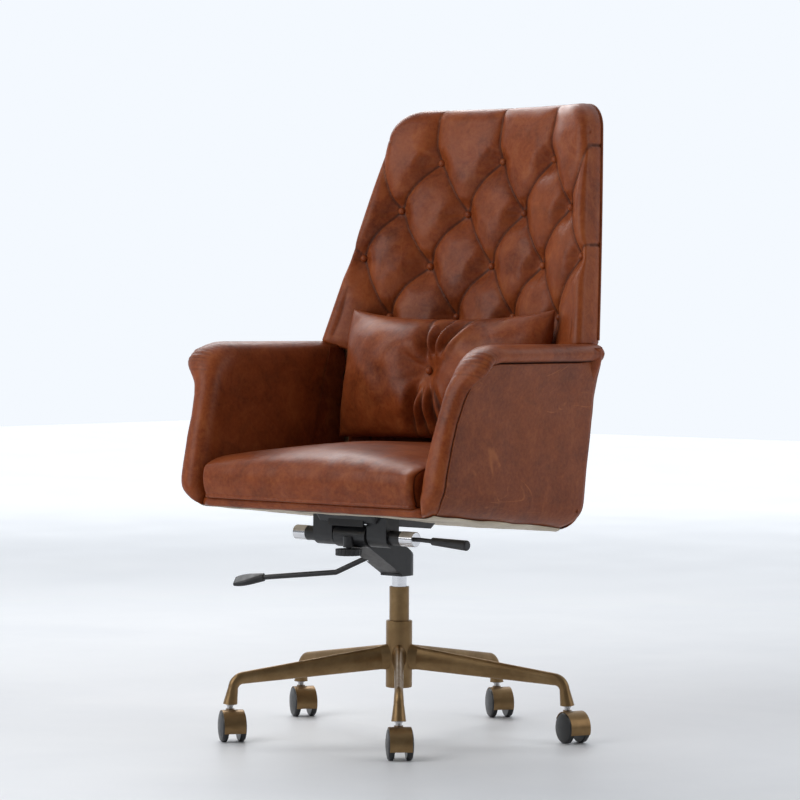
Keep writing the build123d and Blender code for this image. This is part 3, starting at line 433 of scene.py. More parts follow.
# the third number darkens the leather as painted shade, most on the outer panels and trim; the fourth sets
# its scuffs
BACK_LEATHER = leather("back_leather", 0.0, 0.05, 0.18)
SEAT_LEATHER = leather("seat_leather", 2.3, 0.12, 0.16)
ARM_LEATHER = leather("arm_leather", 4.1, 0.10, 0.14)
PANEL_LEATHER = leather("panel_leather", 6.6, 0.42, 0.55)
PILLOW_LEATHER = leather("pillow_leather", 8.2, 0.0, 0.16)
TRIM_LEATHER = leather("trim_leather", 1.1, 0.35, 0.1)
DUST_CLOTH = dust_cloth("dust_cloth")

SLOT_MATERIALS = {
    "leather": TRIM_LEATHER,
    "bronze": bronze("bronze"),
    "chrome": metal("chrome", (0.80, 0.80, 0.82), 0.06, 0.14),
    "steel": metal("steel", (0.56, 0.56, 0.57), 0.28, 0.40, 0.3),
    "black_steel": black("black_steel", (0.012, 0.012, 0.013), 0.30, 0.45, 260, 0.25),
    "black_plastic": black("black_plastic", (0.014, 0.014, 0.015), 0.38, 0.52, 700, 0.4),
    "wheel_plastic": black("wheel_plastic", (0.010, 0.010, 0.010), 0.30, 0.45, 500, 0.25),
    "plywood": plywood("plywood"),
    "dust_cloth": DUST_CLOTH,
}
for entry in frame["record"]["subparts"]:
    mesh = nodes[entry["node"]].data
    mesh.materials.clear()
    mesh.materials.append(SLOT_MATERIALS[entry["material_slot"]])

# ---- back: outline

side_slope = (BACK_ARM_HALF_WIDTH - BACK_TOP_HALF_WIDTH) / (BACK_TOP_Z - BACK_ARM_Z)
side_normal = np.array([1, side_slope]) / hypot(1, side_slope)
corner_z = BACK_TOP_Z - BACK_CORNER_R
corner_x = BACK_ARM_HALF_WIDTH - side_slope * (corner_z - BACK_ARM_Z) - BACK_CORNER_R / side_normal[0]
corner_start_z = corner_z + BACK_CORNER_R * side_normal[1]


def slanted_half_width(z):
    """Half-width of the back's outline on its straight slanted sides."""
    return BACK_ARM_HALF_WIDTH - side_slope * (z - BACK_ARM_Z)


def half_width(z, lower=BACK_LOWER_HALF_WIDTH):
    """Half-width of the back's outline at z, with its round top corners and its narrow lower part."""
    round_part = corner_x + np.sqrt(np.maximum(BACK_CORNER_R**2 - (z - corner_z) ** 2, 0))
    upper = np.where(z > corner_start_z, round_part, slanted_half_width(z))
    return lower + (upper - lower) * smooth_step(BACK_ARM_Z - 0.03, BACK_ARM_Z + 0.002, z)


def edge_distance(x, z):
    """Distance inward from the back's outline."""
    side = (slanted_half_width(z) - abs(x)) * side_normal[0]
    side = np.where(z < BACK_ARM_Z, half_width(z) - abs(x), side)
    distance = np.minimum(side, BACK_TOP_Z - z)
    in_corner = (abs(x) > corner_x) & (z > corner_z)
    round_distance = BACK_CORNER_R - np.hypot(abs(x) - corner_x, z - corner_z)
    return np.where(in_corner, round_distance, distance)


# ---- back: buttons and pleats


def arc_along(x):
    """Distance along the bent surface from the centre line."""
    return BEND_R * np.arcsin(np.asarray(x) / BEND_R)


buttons = []
outer_folds = []
for height, count in BUTTON_ROWS:
    for column in range(count):
        x = (column - (count - 1) / 2) * BUTTON_PITCH
        if height in OUTER_BUTTONS and column in (0, count - 1):
            rise, inset, *edge_fold = OUTER_BUTTONS[height]
            buttons.append((x - np.sign(x) * inset, height + rise))
            outer_folds.append((*buttons[-1], *edge_fold))
        else:
            buttons.append((x, height))

PLEAT_BOW = 0.006
PLEAT_STEPS = 10
pleats = []


def add_pleat(start, end, bow, first, middle, last, reach=1.0):
    """A fold from start to end, bowed sideways; first to last say how shallow it is along its way."""
    start = np.array(start)
    end = np.array(end)
    way = end - start
    side = np.array([-way[1], way[0]]) / np.linalg.norm(way)
    knee = (start + end) / 2 + side * bow * 2
    t = np.linspace(0, 1, PLEAT_STEPS + 1)[:, None]
    line = (1 - t) ** 2 * start + 2 * t * (1 - t) * knee + t**2 * end
    pleats.append({"line": line, "shallow": (first, middle, last), "reach": reach})


seams_at_edge = []
random_bow = np.random.default_rng(11)
for (x0, z0), (x1, z1) in ((a, b) for a in buttons for b in buttons):
    if 0.06 < z0 - z1 < 0.13 and abs(abs(x1 - x0) - BUTTON_PITCH / 2) < 0.02:
        outward = 1 if x1 > x0 else -1
        bow = (PLEAT_BOW + random_bow.uniform(-0.002, 0.002)) * outward
        add_pleat((arc_along(x0), z0), (arc_along(x1), z1), bow, 0.0, 0.46, 0.0)
for x, z in buttons:
    if z == BUTTON_ROWS[0][0]:
        add_pleat((arc_along(x), z), (arc_along(x * 1.04), BACK_TOP_Z + 0.004), 0.002, 0.0, 0.45, 0.62)
        seams_at_edge.append((x * 1.04, BACK_TOP_Z))
    if z == BUTTON_ROWS[3][0]:
        add_pleat((arc_along(x), z), (arc_along(x) * 0.98, BACK_LOWEST_Z), 0.0, 0.0, 0.6, 0.9)
for x, z, end_z, bow, middle in outer_folds:
    side = np.sign(x)
    end_x = float(half_width(end_z))
    add_pleat((arc_along(x), z), (arc_along(end_x) * side, end_z), bow * side, 0.0, middle, 0.60)
    seams_at_edge.append((end_x * side, end_z))
# a soft fold where each wing is drawn down behind its arm
for side in (-1, 1):
    add_pleat((side * 0.290, 0.835), (side * 0.306, 0.742), 0.004, 0.98, 0.90, 0.94, 0.4)

UPPER_REACH = 0.038
LOWER_REACH = 0.056
BUTTON_REACH = 0.030


def swell(x):
    """0 in a fold and 1 away from it, steep at first."""
    x = np.clip(x, 0, 1)
    return (1 - (1 - x) ** 2) ** 0.62


def tuft(along, z):
    """How full the padding is at points of the back, from 0 at a button to 1, and how much painted shade its
    folds and buttons put on each point.
    """
    full = np.ones_like(along)
    fold_shade = np.zeros_like(along)
    for pleat in pleats:
        line = pleat["line"]
        nearest = np.full_like(along, 9.0)
        share = np.zeros_like(along)
        above = np.zeros_like(along)
        for k in range(len(line) - 1):
            way = line[k + 1] - line[k]
            reach = way @ way
            u = np.clip(((along - line[k][0]) * way[0] + (z - line[k][1]) * way[1]) / reach, 0, 1)
            away_x = along - line[k][0] - u * way[0]
            away_z = z - line[k][1] - u * way[1]
            distance = np.hypot(away_x, away_z)
            closer = distance < nearest
            nearest = np.where(closer, distance, nearest)
            share = np.where(closer, (k + u) / (len(line) - 1), share)
            above = np.where(closer, away_z / np.maximum(distance, 1e-6), above)
        first, middle, last = pleat["shallow"]
        rise = np.where(share < 0.5, first, last)
        hump = np.sin(pi * share) ** 0.75
        shallow = rise + (middle - rise) * hump
        width = LOWER_REACH + (UPPER_REACH - LOWER_REACH) * (0.5 + 0.5 * np.clip(above * 1.5, -1, 1))
        width = width * pleat["reach"]
        full *= 1 - (1 - swell(nearest / width)) * (1 - shallow)
        fold_shade = np.maximum(fold_shade, np.exp(-((nearest / 0.0032) ** 2)) * (1 - 0.6 * shallow))
    for number, (x, height) in enumerate(buttons):
        centre = arc_along(x)
        distance = np.hypot(along - centre, z - height)
        full *= swell((distance + 0.002) / BUTTON_REACH) ** 0.8
        # fine gathers that fan out from the button
        turn = np.arctan2(z - height, along - centre)
        phase = 1.7 * number
        rays = np.cos(9 * turn + phase) + 0.6 * np.cos(14 * turn - 2.3 * phase)
        strength = np.exp(-((distance / 0.030) ** 2)) * smooth_step(0.006, 0.018, distance)
        full += 0.030 * rays * strength
        fold_shade = np.maximum(fold_shade, np.exp(-((distance / 0.009) ** 2)) * 0.8)
    return full, fold_shade


# ---- back: cushion cover

BACK_ROW_STEP = 0.0027
BACK_COLUMNS = 205
FLAT_HEIGHT = 0.0215
SEAM_GROOVE = 0.0035
# how far towards the rear seam each ring of the back's sides lies
SIDE_RINGS = (0.12, 0.3, 0.5, 0.7, 0.86, 0.95, 1.0)


def back_cover():
    """The buttoned front of the back, its rounded edges and its sides, as one leather."""
    edge = [BACK_EDGE_R * (1 - sin(a)) for a in np.linspace(0, pi / 2, 10)]
    inner = np.arange(BACK_LOWEST_Z, BACK_TOP_Z - BACK_EDGE_R - BACK_ROW_STEP / 2, BACK_ROW_STEP)
    heights = np.r_[inner, [BACK_TOP_Z - e for e in edge]]
    columns = BACK_COLUMNS + 2 * (len(edge) - 1)
    rows = []
    for z in heights:
        half = float(half_width(z))
        middle = np.linspace(-(half - BACK_EDGE_R), half - BACK_EDGE_R, BACK_COLUMNS)
        right = [half - e for e in edge[1:]]
        rows.append(np.r_[[-x for x in reversed(right)], middle, right])
    x = np.array(rows)
    z = np.repeat(heights[:, None], columns, axis=1)
    full, fold_shade = tuft(arc_along(x), z)
    distance = np.maximum(edge_distance(x, z), 0)
    inside = smooth_step(0.0, 0.075, distance)
    height = FLAT_HEIGHT + (TUFT_HEIGHT - FLAT_HEIGHT) * inside
    past = np.clip((BACK_EDGE_R - distance) / BACK_EDGE_R, 0, 1)
    rounding = BACK_EDGE_R * (1 - np.sqrt(1 - past**2))
    keep = 1 - 0.75 * past**2
    depth = BUTTON_DEPTH + 0.001 - height * (1 - (1 - full) * keep) + rounding
    flat = xyz(x.ravel(), 0.0, z.ravel())
    depth += wavy(flat, 0.05, 0.0014, 1).reshape(x.shape) * inside
    depth += wavy(flat, 0.016, 0.0005, 2).reshape(x.shape) * inside
    y = back_y(x, z, depth)
    points = [xyz(x, y, z).reshape(-1, 3)]
    shade = [fold_shade.ravel()]
    faces = grid_faces(len(heights), columns)
    # the sides and the top, from the front's edge back to the seam
    rim = [i * columns for i in range(len(heights))]
    rim += [(len(heights) - 1) * columns + j for j in range(1, columns - 1)]
    rim += [i * columns + columns - 1 for i in reversed(range(len(heights)))]
    rim_x = x.ravel()[rim]
    rim_z = z.ravel()[rim]
    rim_depth = depth.ravel()[rim]
    outward = np.stack([-np.gradient(rim_z), np.gradient(rim_x)], axis=1)
    outward /= np.maximum(np.linalg.norm(outward, axis=1)[:, None], 1e-9)
    groove = np.zeros(len(rim))
    for seam_x, seam_z in seams_at_edge:
        away = np.hypot(rim_x - seam_x, rim_z - seam_z)
        groove = np.maximum(groove, np.exp(-((away / SEAM_GROOVE) ** 2)))
    for share in SIDE_RINGS:
        ring_depth = rim_depth + (BACK_SEAM_DEPTH - rim_depth) * share
        bulge = 0.0022 * sin(pi * share) - SEAM_GROOVE * groove * (1 - 0.3 * share)
        if share == 1.0:
            bulge = bulge - 0.002
        ring_x = rim_x + outward[:, 0] * bulge
        ring_z = rim_z + outward[:, 1] * bulge
        ring_y = back_y(ring_x, ring_z, ring_depth)
        points.append(xyz(ring_x, ring_y, ring_z))
        # painted shade in the seam grooves
        shade.append(groove * 0.9)
    count = len(rim)
    previous = rim
    start = x.size
    for _ in SIDE_RINGS:
        ring = list(range(start, start + count))
        faces += [(previous[k], previous[k + 1], ring[k + 1], ring[k]) for k in range(count - 1)]
        previous = ring
        start += count
    return new_piece("back_cover", np.concatenate(points), faces, BACK_LEATHER, np.concatenate(shade))


back = back_cover()
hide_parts("back_cushion")
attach(back, "seat")

BUTTON_HEIGHT = 0.0055
BUTTON_SEGMENTS = 20
# (share of the radius, share of the height) from the top of a button down to its hidden underside
BUTTON_PROFILE = (
    (0.28, 0.97), (0.52, 0.86), (0.74, 0.66), (0.90, 0.40),
    (1.0, 0.10), (1.0, -0.25), (0.86, -0.6),
)


def dome(centre, outward):
    """Points and faces of a covered button: a low dome with a rounded rim."""
    outward = np.array(outward) / np.linalg.norm(outward)
    side = np.cross(outward, (0, 0, 1))
    side /= np.linalg.norm(side)
    up = np.cross(side, outward)
    turns = 2 * pi * np.arange(BUTTON_SEGMENTS)[:, None] / BUTTON_SEGMENTS
    points = [np.array(centre) + outward * BUTTON_HEIGHT]
    for r, h in BUTTON_PROFILE:
        round_part = BUTTON_R * r * (np.cos(turns) * side + np.sin(turns) * up)
        points += list(np.array(centre) + round_part + outward * BUTTON_HEIGHT * h)
    faces = [(0, 1 + k, 1 + (k + 1) % BUTTON_SEGMENTS) for k in range(BUTTON_SEGMENTS)]
    faces += grid_faces(len(BUTTON_PROFILE), BUTTON_SEGMENTS, close_columns=True, start=1)
    faces.append(tuple(range(len(points) - BUTTON_SEGMENTS, len(points))))
    return points, faces


def button_caps():
    """The back's covered buttons, one object."""
    points, faces = [], []
    for x, z in buttons:
        centre = (x, float(back_y(x, z, BUTTON_DEPTH - 0.0005)), z)
        outward = (-x, -sqrt(BEND_R**2 - x**2), 0)
        more_points, more_faces = dome(centre, outward)
        faces += [tuple(len(points) + k for k in face) for face in more_faces]
        points += more_points
    return new_piece("button_caps", points, faces, PILLOW_LEATHER)


caps = button_caps()
subdivide(caps)
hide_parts("back_buttons")
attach(caps, "seat")

# ---- back: rear cover and piping

REAR_TOP_ROWS = (0.008, 0.004, 0.0015, 0.0)
REAR_THICKNESS = 0.006


def rear_cover():
    """The outer back: a smooth panel that wraps forward under the body's rear lower edge."""
    low_y = float(back_y(0.0, 0.40, REAR_DEPTH))
    low_z = underside_z(low_y) + REAR_CORNER_R
    heights = np.r_[np.linspace(low_z, BACK_TOP_Z - 0.012, 90), BACK_TOP_Z - np.array(REAR_TOP_ROWS)]
    columns = 97
    spread = np.sin(np.linspace(-1, 1, columns) * pi / 2 * 0.92) / sin(pi / 2 * 0.92)
    points = []
    for a in np.linspace(pi / 2, 0, 9)[:-1]:
        forward = REAR_CORNER_R * (1 - cos(a))
        up = REAR_CORNER_R * (1 - sin(a))
        half = BODY_HALF_WIDTH - BODY_EDGE_R + sqrt(BODY_EDGE_R**2 - (BODY_EDGE_R - up) ** 2) - 0.001
        x = spread * half
        y = back_y(x, low_z, REAR_DEPTH) - forward
        points.append(xyz(x, y, underside_z(y) + up))
    for z in heights:
        wide = half_width(z, BODY_HALF_WIDTH) - 0.001
        x = spread * wide
        inset = np.minimum(np.maximum(edge_distance(x, z), 0), wide - abs(x))
        turned = 0.005 * np.clip(1 - inset / 0.006, 0, 1) ** 2
        crown = 0.0015 * smooth_step(0, 0.08, inset)
        points.append(xyz(x, back_y(x, z, REAR_DEPTH + crown - turned), z))
    outer = np.concatenate(points)
    count = len(points)
    total = len(outer)
    inner = outer.copy()
    inner[:, 1] -= REAR_THICKNESS
    faces = grid_faces(count, columns) + grid_faces(count, columns, start=total)
    edges = [(i * columns + j, (i + 1) * columns + j) for i in range(count - 1) for j in (0, columns - 1)]
    edges += [(i * columns + j, i * columns + j + 1) for j in range(columns - 1) for i in (0, count - 1)]
    faces += [(a, b, b + total, a + total) for a, b in edges]
    everything = np.concatenate([outer, inner])
    everything[:, 1] += wavy(everything, 0.12, 0.0012, 5)
    return new_piece("rear_cover", everything, faces, PANEL_LEATHER)


rear = rear_cover()
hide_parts("rear_panel")
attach(rear, "seat")

WELT_R = 0.0028
side_heights = np.arange(BACK_ARM_Z + 0.006, corner_start_z, 0.008)
left_side = [(-float(half_width(z)), z) for z in side_heights]
corner = [
    (-corner_x - BACK_CORNER_R * cos(a), corner_z + BACK_CORNER_R * sin(a))
    for a in np.linspace(asin(side_normal[1]), pi / 2, 14)
]
half_outline = left_side + corner
outline = half_outline + [(x, BACK_TOP_Z) for x in np.linspace(-corner_x, corner_x, 40)[1:-1]]
outline += [(-x, z) for x, z in reversed(half_outline)]
piping_path = [(x, float(back_y(x, z, BACK_SEAM_DEPTH + 0.001)), z) for x, z in outline]
piping = tube("back_piping", piping_path, WELT_R, TRIM_LEATHER)
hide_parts("back_welt")
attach(piping, "seat")

# ---- seat cushion

SEAT_HALF_WIDTH = 0.251
SEAT_SEAM_R = 0.012
# (Y, Z) round the cushion's side view on the centre line, from its lower front edge up and over
SEAT_SIDE = (
    (-0.256, 0.4405), (-0.2675, 0.4500), (-0.2740, 0.4700), (-0.2735, 0.4900),
    (-0.2665, 0.5080), (-0.2480, 0.5240), (-0.2150, 0.5350), (-0.1600, 0.5415),
    (-0.0700, 0.5455), (0.0400, 0.5430), (0.1200, 0.5370), (0.1850, 0.5200),
    (0.2000, 0.4800), (0.1850, 0.4200), (0.0000, 0.4250), (-0.1500, 0.4360),
)
# the side panel's rings: share of the way to its middle, distance outward, and how much painted shade the
# groove gets
SEAT_SIDE_PANEL = (
    (0.012, 0.0010, 0.7), (0.022, -0.0012, 1.0), (0.034, 0.0004, 0.2),
    (0.08, 0.0008, 0), (0.4, 0.0010, 0), (0.8, 0.0010, 0),
)
SEAT_CROWN = 0.026


def seat_cushion():
    """A crowned cushion with a rounded front and flat sewn-in side panels."""
    loop = curve_through(SEAT_SIDE, 220, closed=True)
    centre = np.array([-0.03, 0.49])
    top = smooth_step(0.49, 0.535, loop[:, 1])
    stations = []
    for x in np.linspace(-1, 1, 121):
        stations.append((x * (SEAT_HALF_WIDTH - SEAT_SEAM_R), 0.0))
    seam = [(SEAT_SEAM_R * sin(a), SEAT_SEAM_R * (1 - cos(a))) for a in np.linspace(0, pi / 2 * 0.93, 8)[1:]]
    right = [(SEAT_HALF_WIDTH - SEAT_SEAM_R + out, inset) for out, inset in seam]
    stations = [(-x, inset) for x, inset in reversed(right)] + stations + right
    rings, shade = [], []
    for x, inset in stations:
        drop = abs(x / SEAT_HALF_WIDTH) ** 2.2
        ring = loop.copy()
        ring[:, 1] -= drop * SEAT_CROWN * top * (0.6 + 0.4 * smooth_step(-0.26, -0.12, loop[:, 0]))
        inward = centre - ring
        inward /= np.linalg.norm(inward, axis=1)[:, None]
        ring += inward * inset
        rings.append(xyz(x, ring[:, 0], ring[:, 1]))
        shade.append(np.zeros(len(ring)))
    # the side panels: a stitched groove with painted shade, then a flat face
    edge_ring = rings[-1][:, 1:]
    inward = centre - edge_ring
    for share, out, dark in SEAT_SIDE_PANEL:
        ring = edge_ring + inward * share
        x = SEAT_HALF_WIDTH + out - 0.001
        rings = [xyz(-x, ring[:, 0], ring[:, 1]), *rings, xyz(x, ring[:, 0], ring[:, 1])]
        shade = [np.full(len(ring), dark), *shade, np.full(len(ring), dark)]
    points = np.concatenate(rings)
    # soft pulls over the front and a slight unevenness of the filling
    front = smooth_step(-0.20, -0.265, points[:, 1])
    pulls = np.array([noise.noise(Vector((p[0] / 0.035, 3.3, p[2] / 0.25))) for p in points])
    points[:, 1] -= pulls * 0.0022 * front
    inside = 1 - smooth_step(0.20, SEAT_HALF_WIDTH, abs(points[:, 0]))
    points[:, 2] += wavy(points, 0.13, 0.0020, 8) * inside * smooth_step(0.50, 0.53, points[:, 2])
    rings = np.split(points, len(rings))
    return ring_piece("seat_cover", rings, SEAT_LEATHER, np.concatenate(shade))


seat = seat_cushion()
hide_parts("seat_cushion")
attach(seat, "seat")

# ---- front rail

RAIL_HALF_WIDTH = 0.262
RAIL_Y = -0.2425
# the rail's section, (Y, Z) from its lower rear edge
RAIL_SECTION = (
    (0.0, 0.000), (-0.012, 0.0005), (-0.0165, 0.005), (-0.0175, 0.010),
    (-0.0150, 0.0158), (-0.008, 0.0178), (0.004, 0.018), (0.004, 0.001),
)


def front_rail():
    """The padded strip under the cushion, between the two arms."""
    loop = curve_through(RAIL_SECTION, 40, closed=True)
    rings = []
    for x in np.linspace(-RAIL_HALF_WIDTH, RAIL_HALF_WIDTH, 121):
        end = smooth_step(RAIL_HALF_WIDTH - 0.014, RAIL_HALF_WIDTH, abs(x))
        y = RAIL_Y + loop[:, 0] * (1 - 0.35 * end)
        z = underside_z(RAIL_Y - 0.0005) - 0.0005 + loop[:, 1] * (1 - 0.15 * end)
        z = z + 0.0006 * noise.noise(Vector((x / 0.03, 1.0, 0.0)))
        rings.append(xyz(x, y, z))
    return ring_piece("rail_cover", rings, ARM_LEATHER)


rail = front_rail()
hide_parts("front_rail")
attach(rail, "seat")

# ---- arms

ARM_TOP_Z = 0.729
ARM_SEAM_Z = 0.697
ARM_REAR_LOW_Y = 0.142
ARM_REAR_MIDDLE = (0.1725, 0.600)
ARM_REAR_TOP_Y = 0.176
ARM_CORNER_R = 0.082
ARM_LOW_CORNER_R = 0.022
BORDER_DEPTH = 0.018
ARM_FRONT = ((-0.2755, 0.455), (-0.266, 0.505), (-0.252, 0.560))
ARM_FRONT_LEAN = 0.324
ARM_FRONT_LOW = (-0.262, 0.4285)
INNER_FACE = ((0.40, 0.2605), (0.50, 0.264), (0.60, 0.2725), (0.68, 0.279), (0.716, 0.284), (0.74, 0.288))
OUTER_FACE = ((0.50, 0.314), (0.59, 0.316), (0.63, 0.3215), (0.668, 0.333), (0.697, 0.3445), (0.74, 0.358))
OUTER_FLARE_AT_REAR = 0.64


def inner_x(z):
    """Half-width of the arm's inner face."""
    heights, widths = zip(*INNER_FACE)
    return np.interp(z, heights, widths)


def outer_x(y, z):
    """Half-width of the arm's outer face, round along its lower edge."""
    heights, widths = zip(*OUTER_FACE)
    flare = 1 - (1 - OUTER_FLARE_AT_REAR) * smooth_step(-0.13, 0.15, y)
    face = BODY_HALF_WIDTH + (np.interp(z, heights, widths) - BODY_HALF_WIDTH) * flare
    up = np.clip(z - underside_z(y), 0, BODY_EDGE_R)
    low = BODY_HALF_WIDTH - BODY_EDGE_R + np.sqrt(np.maximum(BODY_EDGE_R**2 - (BODY_EDGE_R - up) ** 2, 0))
    return np.minimum(face, np.where(up < BODY_EDGE_R, low, 9))


def arm_outline(inset, top, corner_r):
    """The arm's side view as a closed (Y, Z) loop, with its front and top moved inward by inset."""
    last_y, last_z = ARM_FRONT[-1]
    corner = (last_y + ARM_FRONT_LEAN * (top - last_z) + inset, top, corner_r)
    rear_top = (ARM_REAR_TOP_Y, top, 0.004)
    rear_middle = (*ARM_REAR_MIDDLE, 0.10)
    rear_low = (ARM_REAR_LOW_Y, underside_z(ARM_REAR_LOW_Y), REAR_CORNER_R)
    middle_y = -0.05
    start = (middle_y, underside_z(middle_y), 0)
    front = [(y + inset, z, 0.03) for y, z in ARM_FRONT]
    front_low = (ARM_FRONT_LOW[0] + inset, ARM_FRONT_LOW[1] + inset * 0.1, ARM_LOW_CORNER_R)
    return rounded([start, front_low, *front, corner, rear_top, rear_middle, rear_low, start], 12)


# across the border, (share of the way from the inner to the outer face, distance in from the outline)
FRONT_ROLL = (
    (0.0, 0.060), (0.0, 0.045), (-0.01, 0.032), (0.02, 0.0205),
    (0.10, 0.0110), (0.23, 0.0042), (0.39, 0.0006), (0.54, 0.0),
    (0.70, 0.0010), (0.85, 0.0042), (0.96, 0.0105), (0.995, 0.0170),
    (0.93, 0.0205),
)
# the same along the arm's top, with the half-width itself, where it flares into a lip
TOP_ROLL = (
    (0.2795, 0.056), (0.2803, 0.040), (0.2835, 0.0245), (0.2905, 0.0120),
    (0.3010, 0.0045), (0.3140, 0.0006), (0.3290, 0.0), (0.3440, 0.0030),
    (0.3560, 0.0095), (0.3620, 0.0170), (0.3600, 0.0245), (0.3530, 0.0305),
    (0.3420, 0.0325),
)
# and along the bottom and the rear, where the outer panel wraps the edge
FREE_EDGE = (
    (0.0, 0.060), (0.0, 0.045), (0.0, 0.032), (0.02, 0.0200),
    (0.08, 0.0100), (0.20, 0.0035), (0.35, 0.0012), (0.50, 0.0010),
    (0.64, 0.0010), (0.78, 0.0010), (0.90, 0.0012), (0.93, 0.0060),
    (0.90, 0.0150),
)
ROLL_POINTS = 40
LIP_FROM_X = 0.300
LIP_AT_REAR = 0.74
ARM_HEART = (0.04, 0.50)
# the outer panel's edge: share of the outline, depth under the face, that depth on a free edge, and the
# painted shade in the seam
PANEL_EDGE = (
    (1.0, 0.006, 0.012, 1.0),
    (1.0, 0.0030, 0.0012, 1.0),
    (0.993, 0.0012, 0.00048, 0.5),
    (0.982, 0.0002, 0.00008, 0.0),
)
# gathers and fullness where the border turns its corner, by the angle round a point behind it
GATHER_CENTRE = (-0.148, 0.669)
FRONT_TURN = 2.887
CORNER_PUSH = 0.020


def on_free_edge(y, z):
    """1 along the arm's bottom and rear, 0 along its rolled front and top."""
    bottom = smooth_step(-0.252, -0.222, y) * smooth_step(underside_z(y) + 0.020, underside_z(y) + 0.006, z)
    rear = smooth_step(0.10, 0.135, y) * smooth_step(0.706, 0.690, z)
    return np.clip(np.maximum(bottom, rear), 0, 1)


def arm_body(side, word):
    """A padded arm with its rolled front and top border; side is +1 on the sitter's left."""
    loop = evenly(arm_outline(0.0, ARM_TOP_Z, ARM_CORNER_R), 0.0035)[:-1]
    ahead = np.roll(loop, -1, axis=0) - np.roll(loop, 1, axis=0)
    ahead /= np.linalg.norm(ahead, axis=1)[:, None]
    inward = np.stack([ahead[:, 1], -ahead[:, 0]], axis=1)
    heart = np.array([0.02, 0.52])
    if ((heart - loop[len(loop) // 2]) @ inward[len(loop) // 2]) < 0:
        inward = -inward
    top_share = smooth_step(0.648, 0.704, loop[:, 1]) * (loop[:, 0] < 0.26)
    front_profile = curve_through(FRONT_ROLL, ROLL_POINTS)
    top_profile = curve_through(TOP_ROLL, ROLL_POINTS)
    free_profile = curve_through(FREE_EDGE, ROLL_POINTS)
    spot = np.arange(ROLL_POINTS)
    across = smooth_step(9, 17, spot) * (1 - smooth_step(36, 39, spot))
    rings, shade = [], []
    for (y, z), normal, share in zip(loop, inward, top_share):
        free = float(on_free_edge(y, z))
        profile = front_profile + (free_profile - front_profile) * free
        n = profile[:, 1] + (top_profile[:, 1] - profile[:, 1]) * share
        ring_y = y + normal[0] * n
        ring_z = z + normal[1] * n
        outer = outer_x(ring_y, ring_z)
        low = np.minimum(inner_x(z), outer - 0.001)
        x_front = low + (outer - low) * profile[:, 0]
        flare = 1 - (1 - LIP_AT_REAR) * smooth_step(-0.13, 0.15, y)
        x_top = np.where(
            top_profile[:, 0] > LIP_FROM_X,
            LIP_FROM_X + (top_profile[:, 0] - LIP_FROM_X) * flare,
            top_profile[:, 0],
        )
        x = x_front + (x_top - x_front) * share
        # gathers where the border turns the corner
        turn = np.arctan2(z - GATHER_CENTRE[1], y - GATHER_CENTRE[0])
        window = smooth_step(1.75, 2.05, turn) * (1 - smooth_step(2.95, 3.2, turn))
        ripple = 0.5 + 0.5 * sin(turn * 44 + 1.2 * sin(turn * 9))
        off_side = min(abs(turn - FRONT_TURN), abs(turn - pi / 2))
        corner = CORNER_PUSH * (1 / cos(min(off_side, 1.0)) - 1) if 1.571 < turn < FRONT_TURN else 0.0
        corner += 0.004 * np.exp(-(((turn - 2.60) / 0.30) ** 2))
        push = 0.0011 * window * ripple * across - corner * smooth_step(14, 28, spot)
        rings.append((x, ring_y + normal[0] * push, ring_z + normal[1] * push))
        # painted shade in the border's seam groove and in the gathers
        groove = smooth_step(33, 38, spot) * (1 - free)
        shade.append(np.maximum(groove, 0.45 * window * ripple * across))
    x, y, z = np.array(rings).transpose(1, 0, 2)

    def inside(column, share):
        """One edge of the border drawn towards the arm's middle."""
        heart_y, heart_z = ARM_HEART
        return heart_y + (y[:, column] - heart_y) * share, heart_z + (z[:, column] - heart_z) * share

    # the inner face closes towards a point low inside the arm, and so does the hidden outer face
    edge_in = x[:, 0] - inner_x(z[:, 0])
    columns = []
    for share in (0.05, 0.12, 0.22, 0.34, 0.48, 0.64, 0.8, 0.94):
        ring_y, ring_z = inside(0, share)
        columns.append((inner_x(ring_z) + edge_in * share, ring_y, ring_z))
    columns += [(x[:, k], y[:, k], z[:, k]) for k in range(ROLL_POINTS)]
    for share in (0.9, 0.6, 0.3, 0.08):
        ring_y, ring_z = inside(-1, share)
        hidden_x = np.minimum(outer_x(ring_y, ring_z) - 0.012, x[:, -1])
        columns.append((np.maximum(hidden_x, inner_x(ring_z) + 0.0005), ring_y, ring_z))
    points = np.stack([xyz(*column) for column in columns], axis=1).reshape(-1, 3)
    # painted shade: none on the inner face, the border's grooves and gathers, and full dark on the hidden
    # outer face
    dark = np.hstack([np.zeros((len(loop), 8)), np.array(shade), np.ones((len(loop), 4))]).ravel()
    points[:, 0] = (points[:, 0] + wavy(points, 0.07, 0.0012, 9) * (1 - dark)) * side
    count = len(columns)
    faces = grid_faces(len(loop), count, close_rows=True)
    faces += [tuple(range(start, len(points), count)) for start in (0, count - 1)]
    return new_piece(f"arm_cover_{word}", points, faces, ARM_LEATHER, dark, weld=0)


def inset_outline(inset, seam_drop):
    """The outer panel's outline, inset from the arm's front and below the seam on its top."""
    return arm_outline(BORDER_DEPTH + inset, ARM_SEAM_Z - seam_drop, ARM_CORNER_R - BORDER_DEPTH)


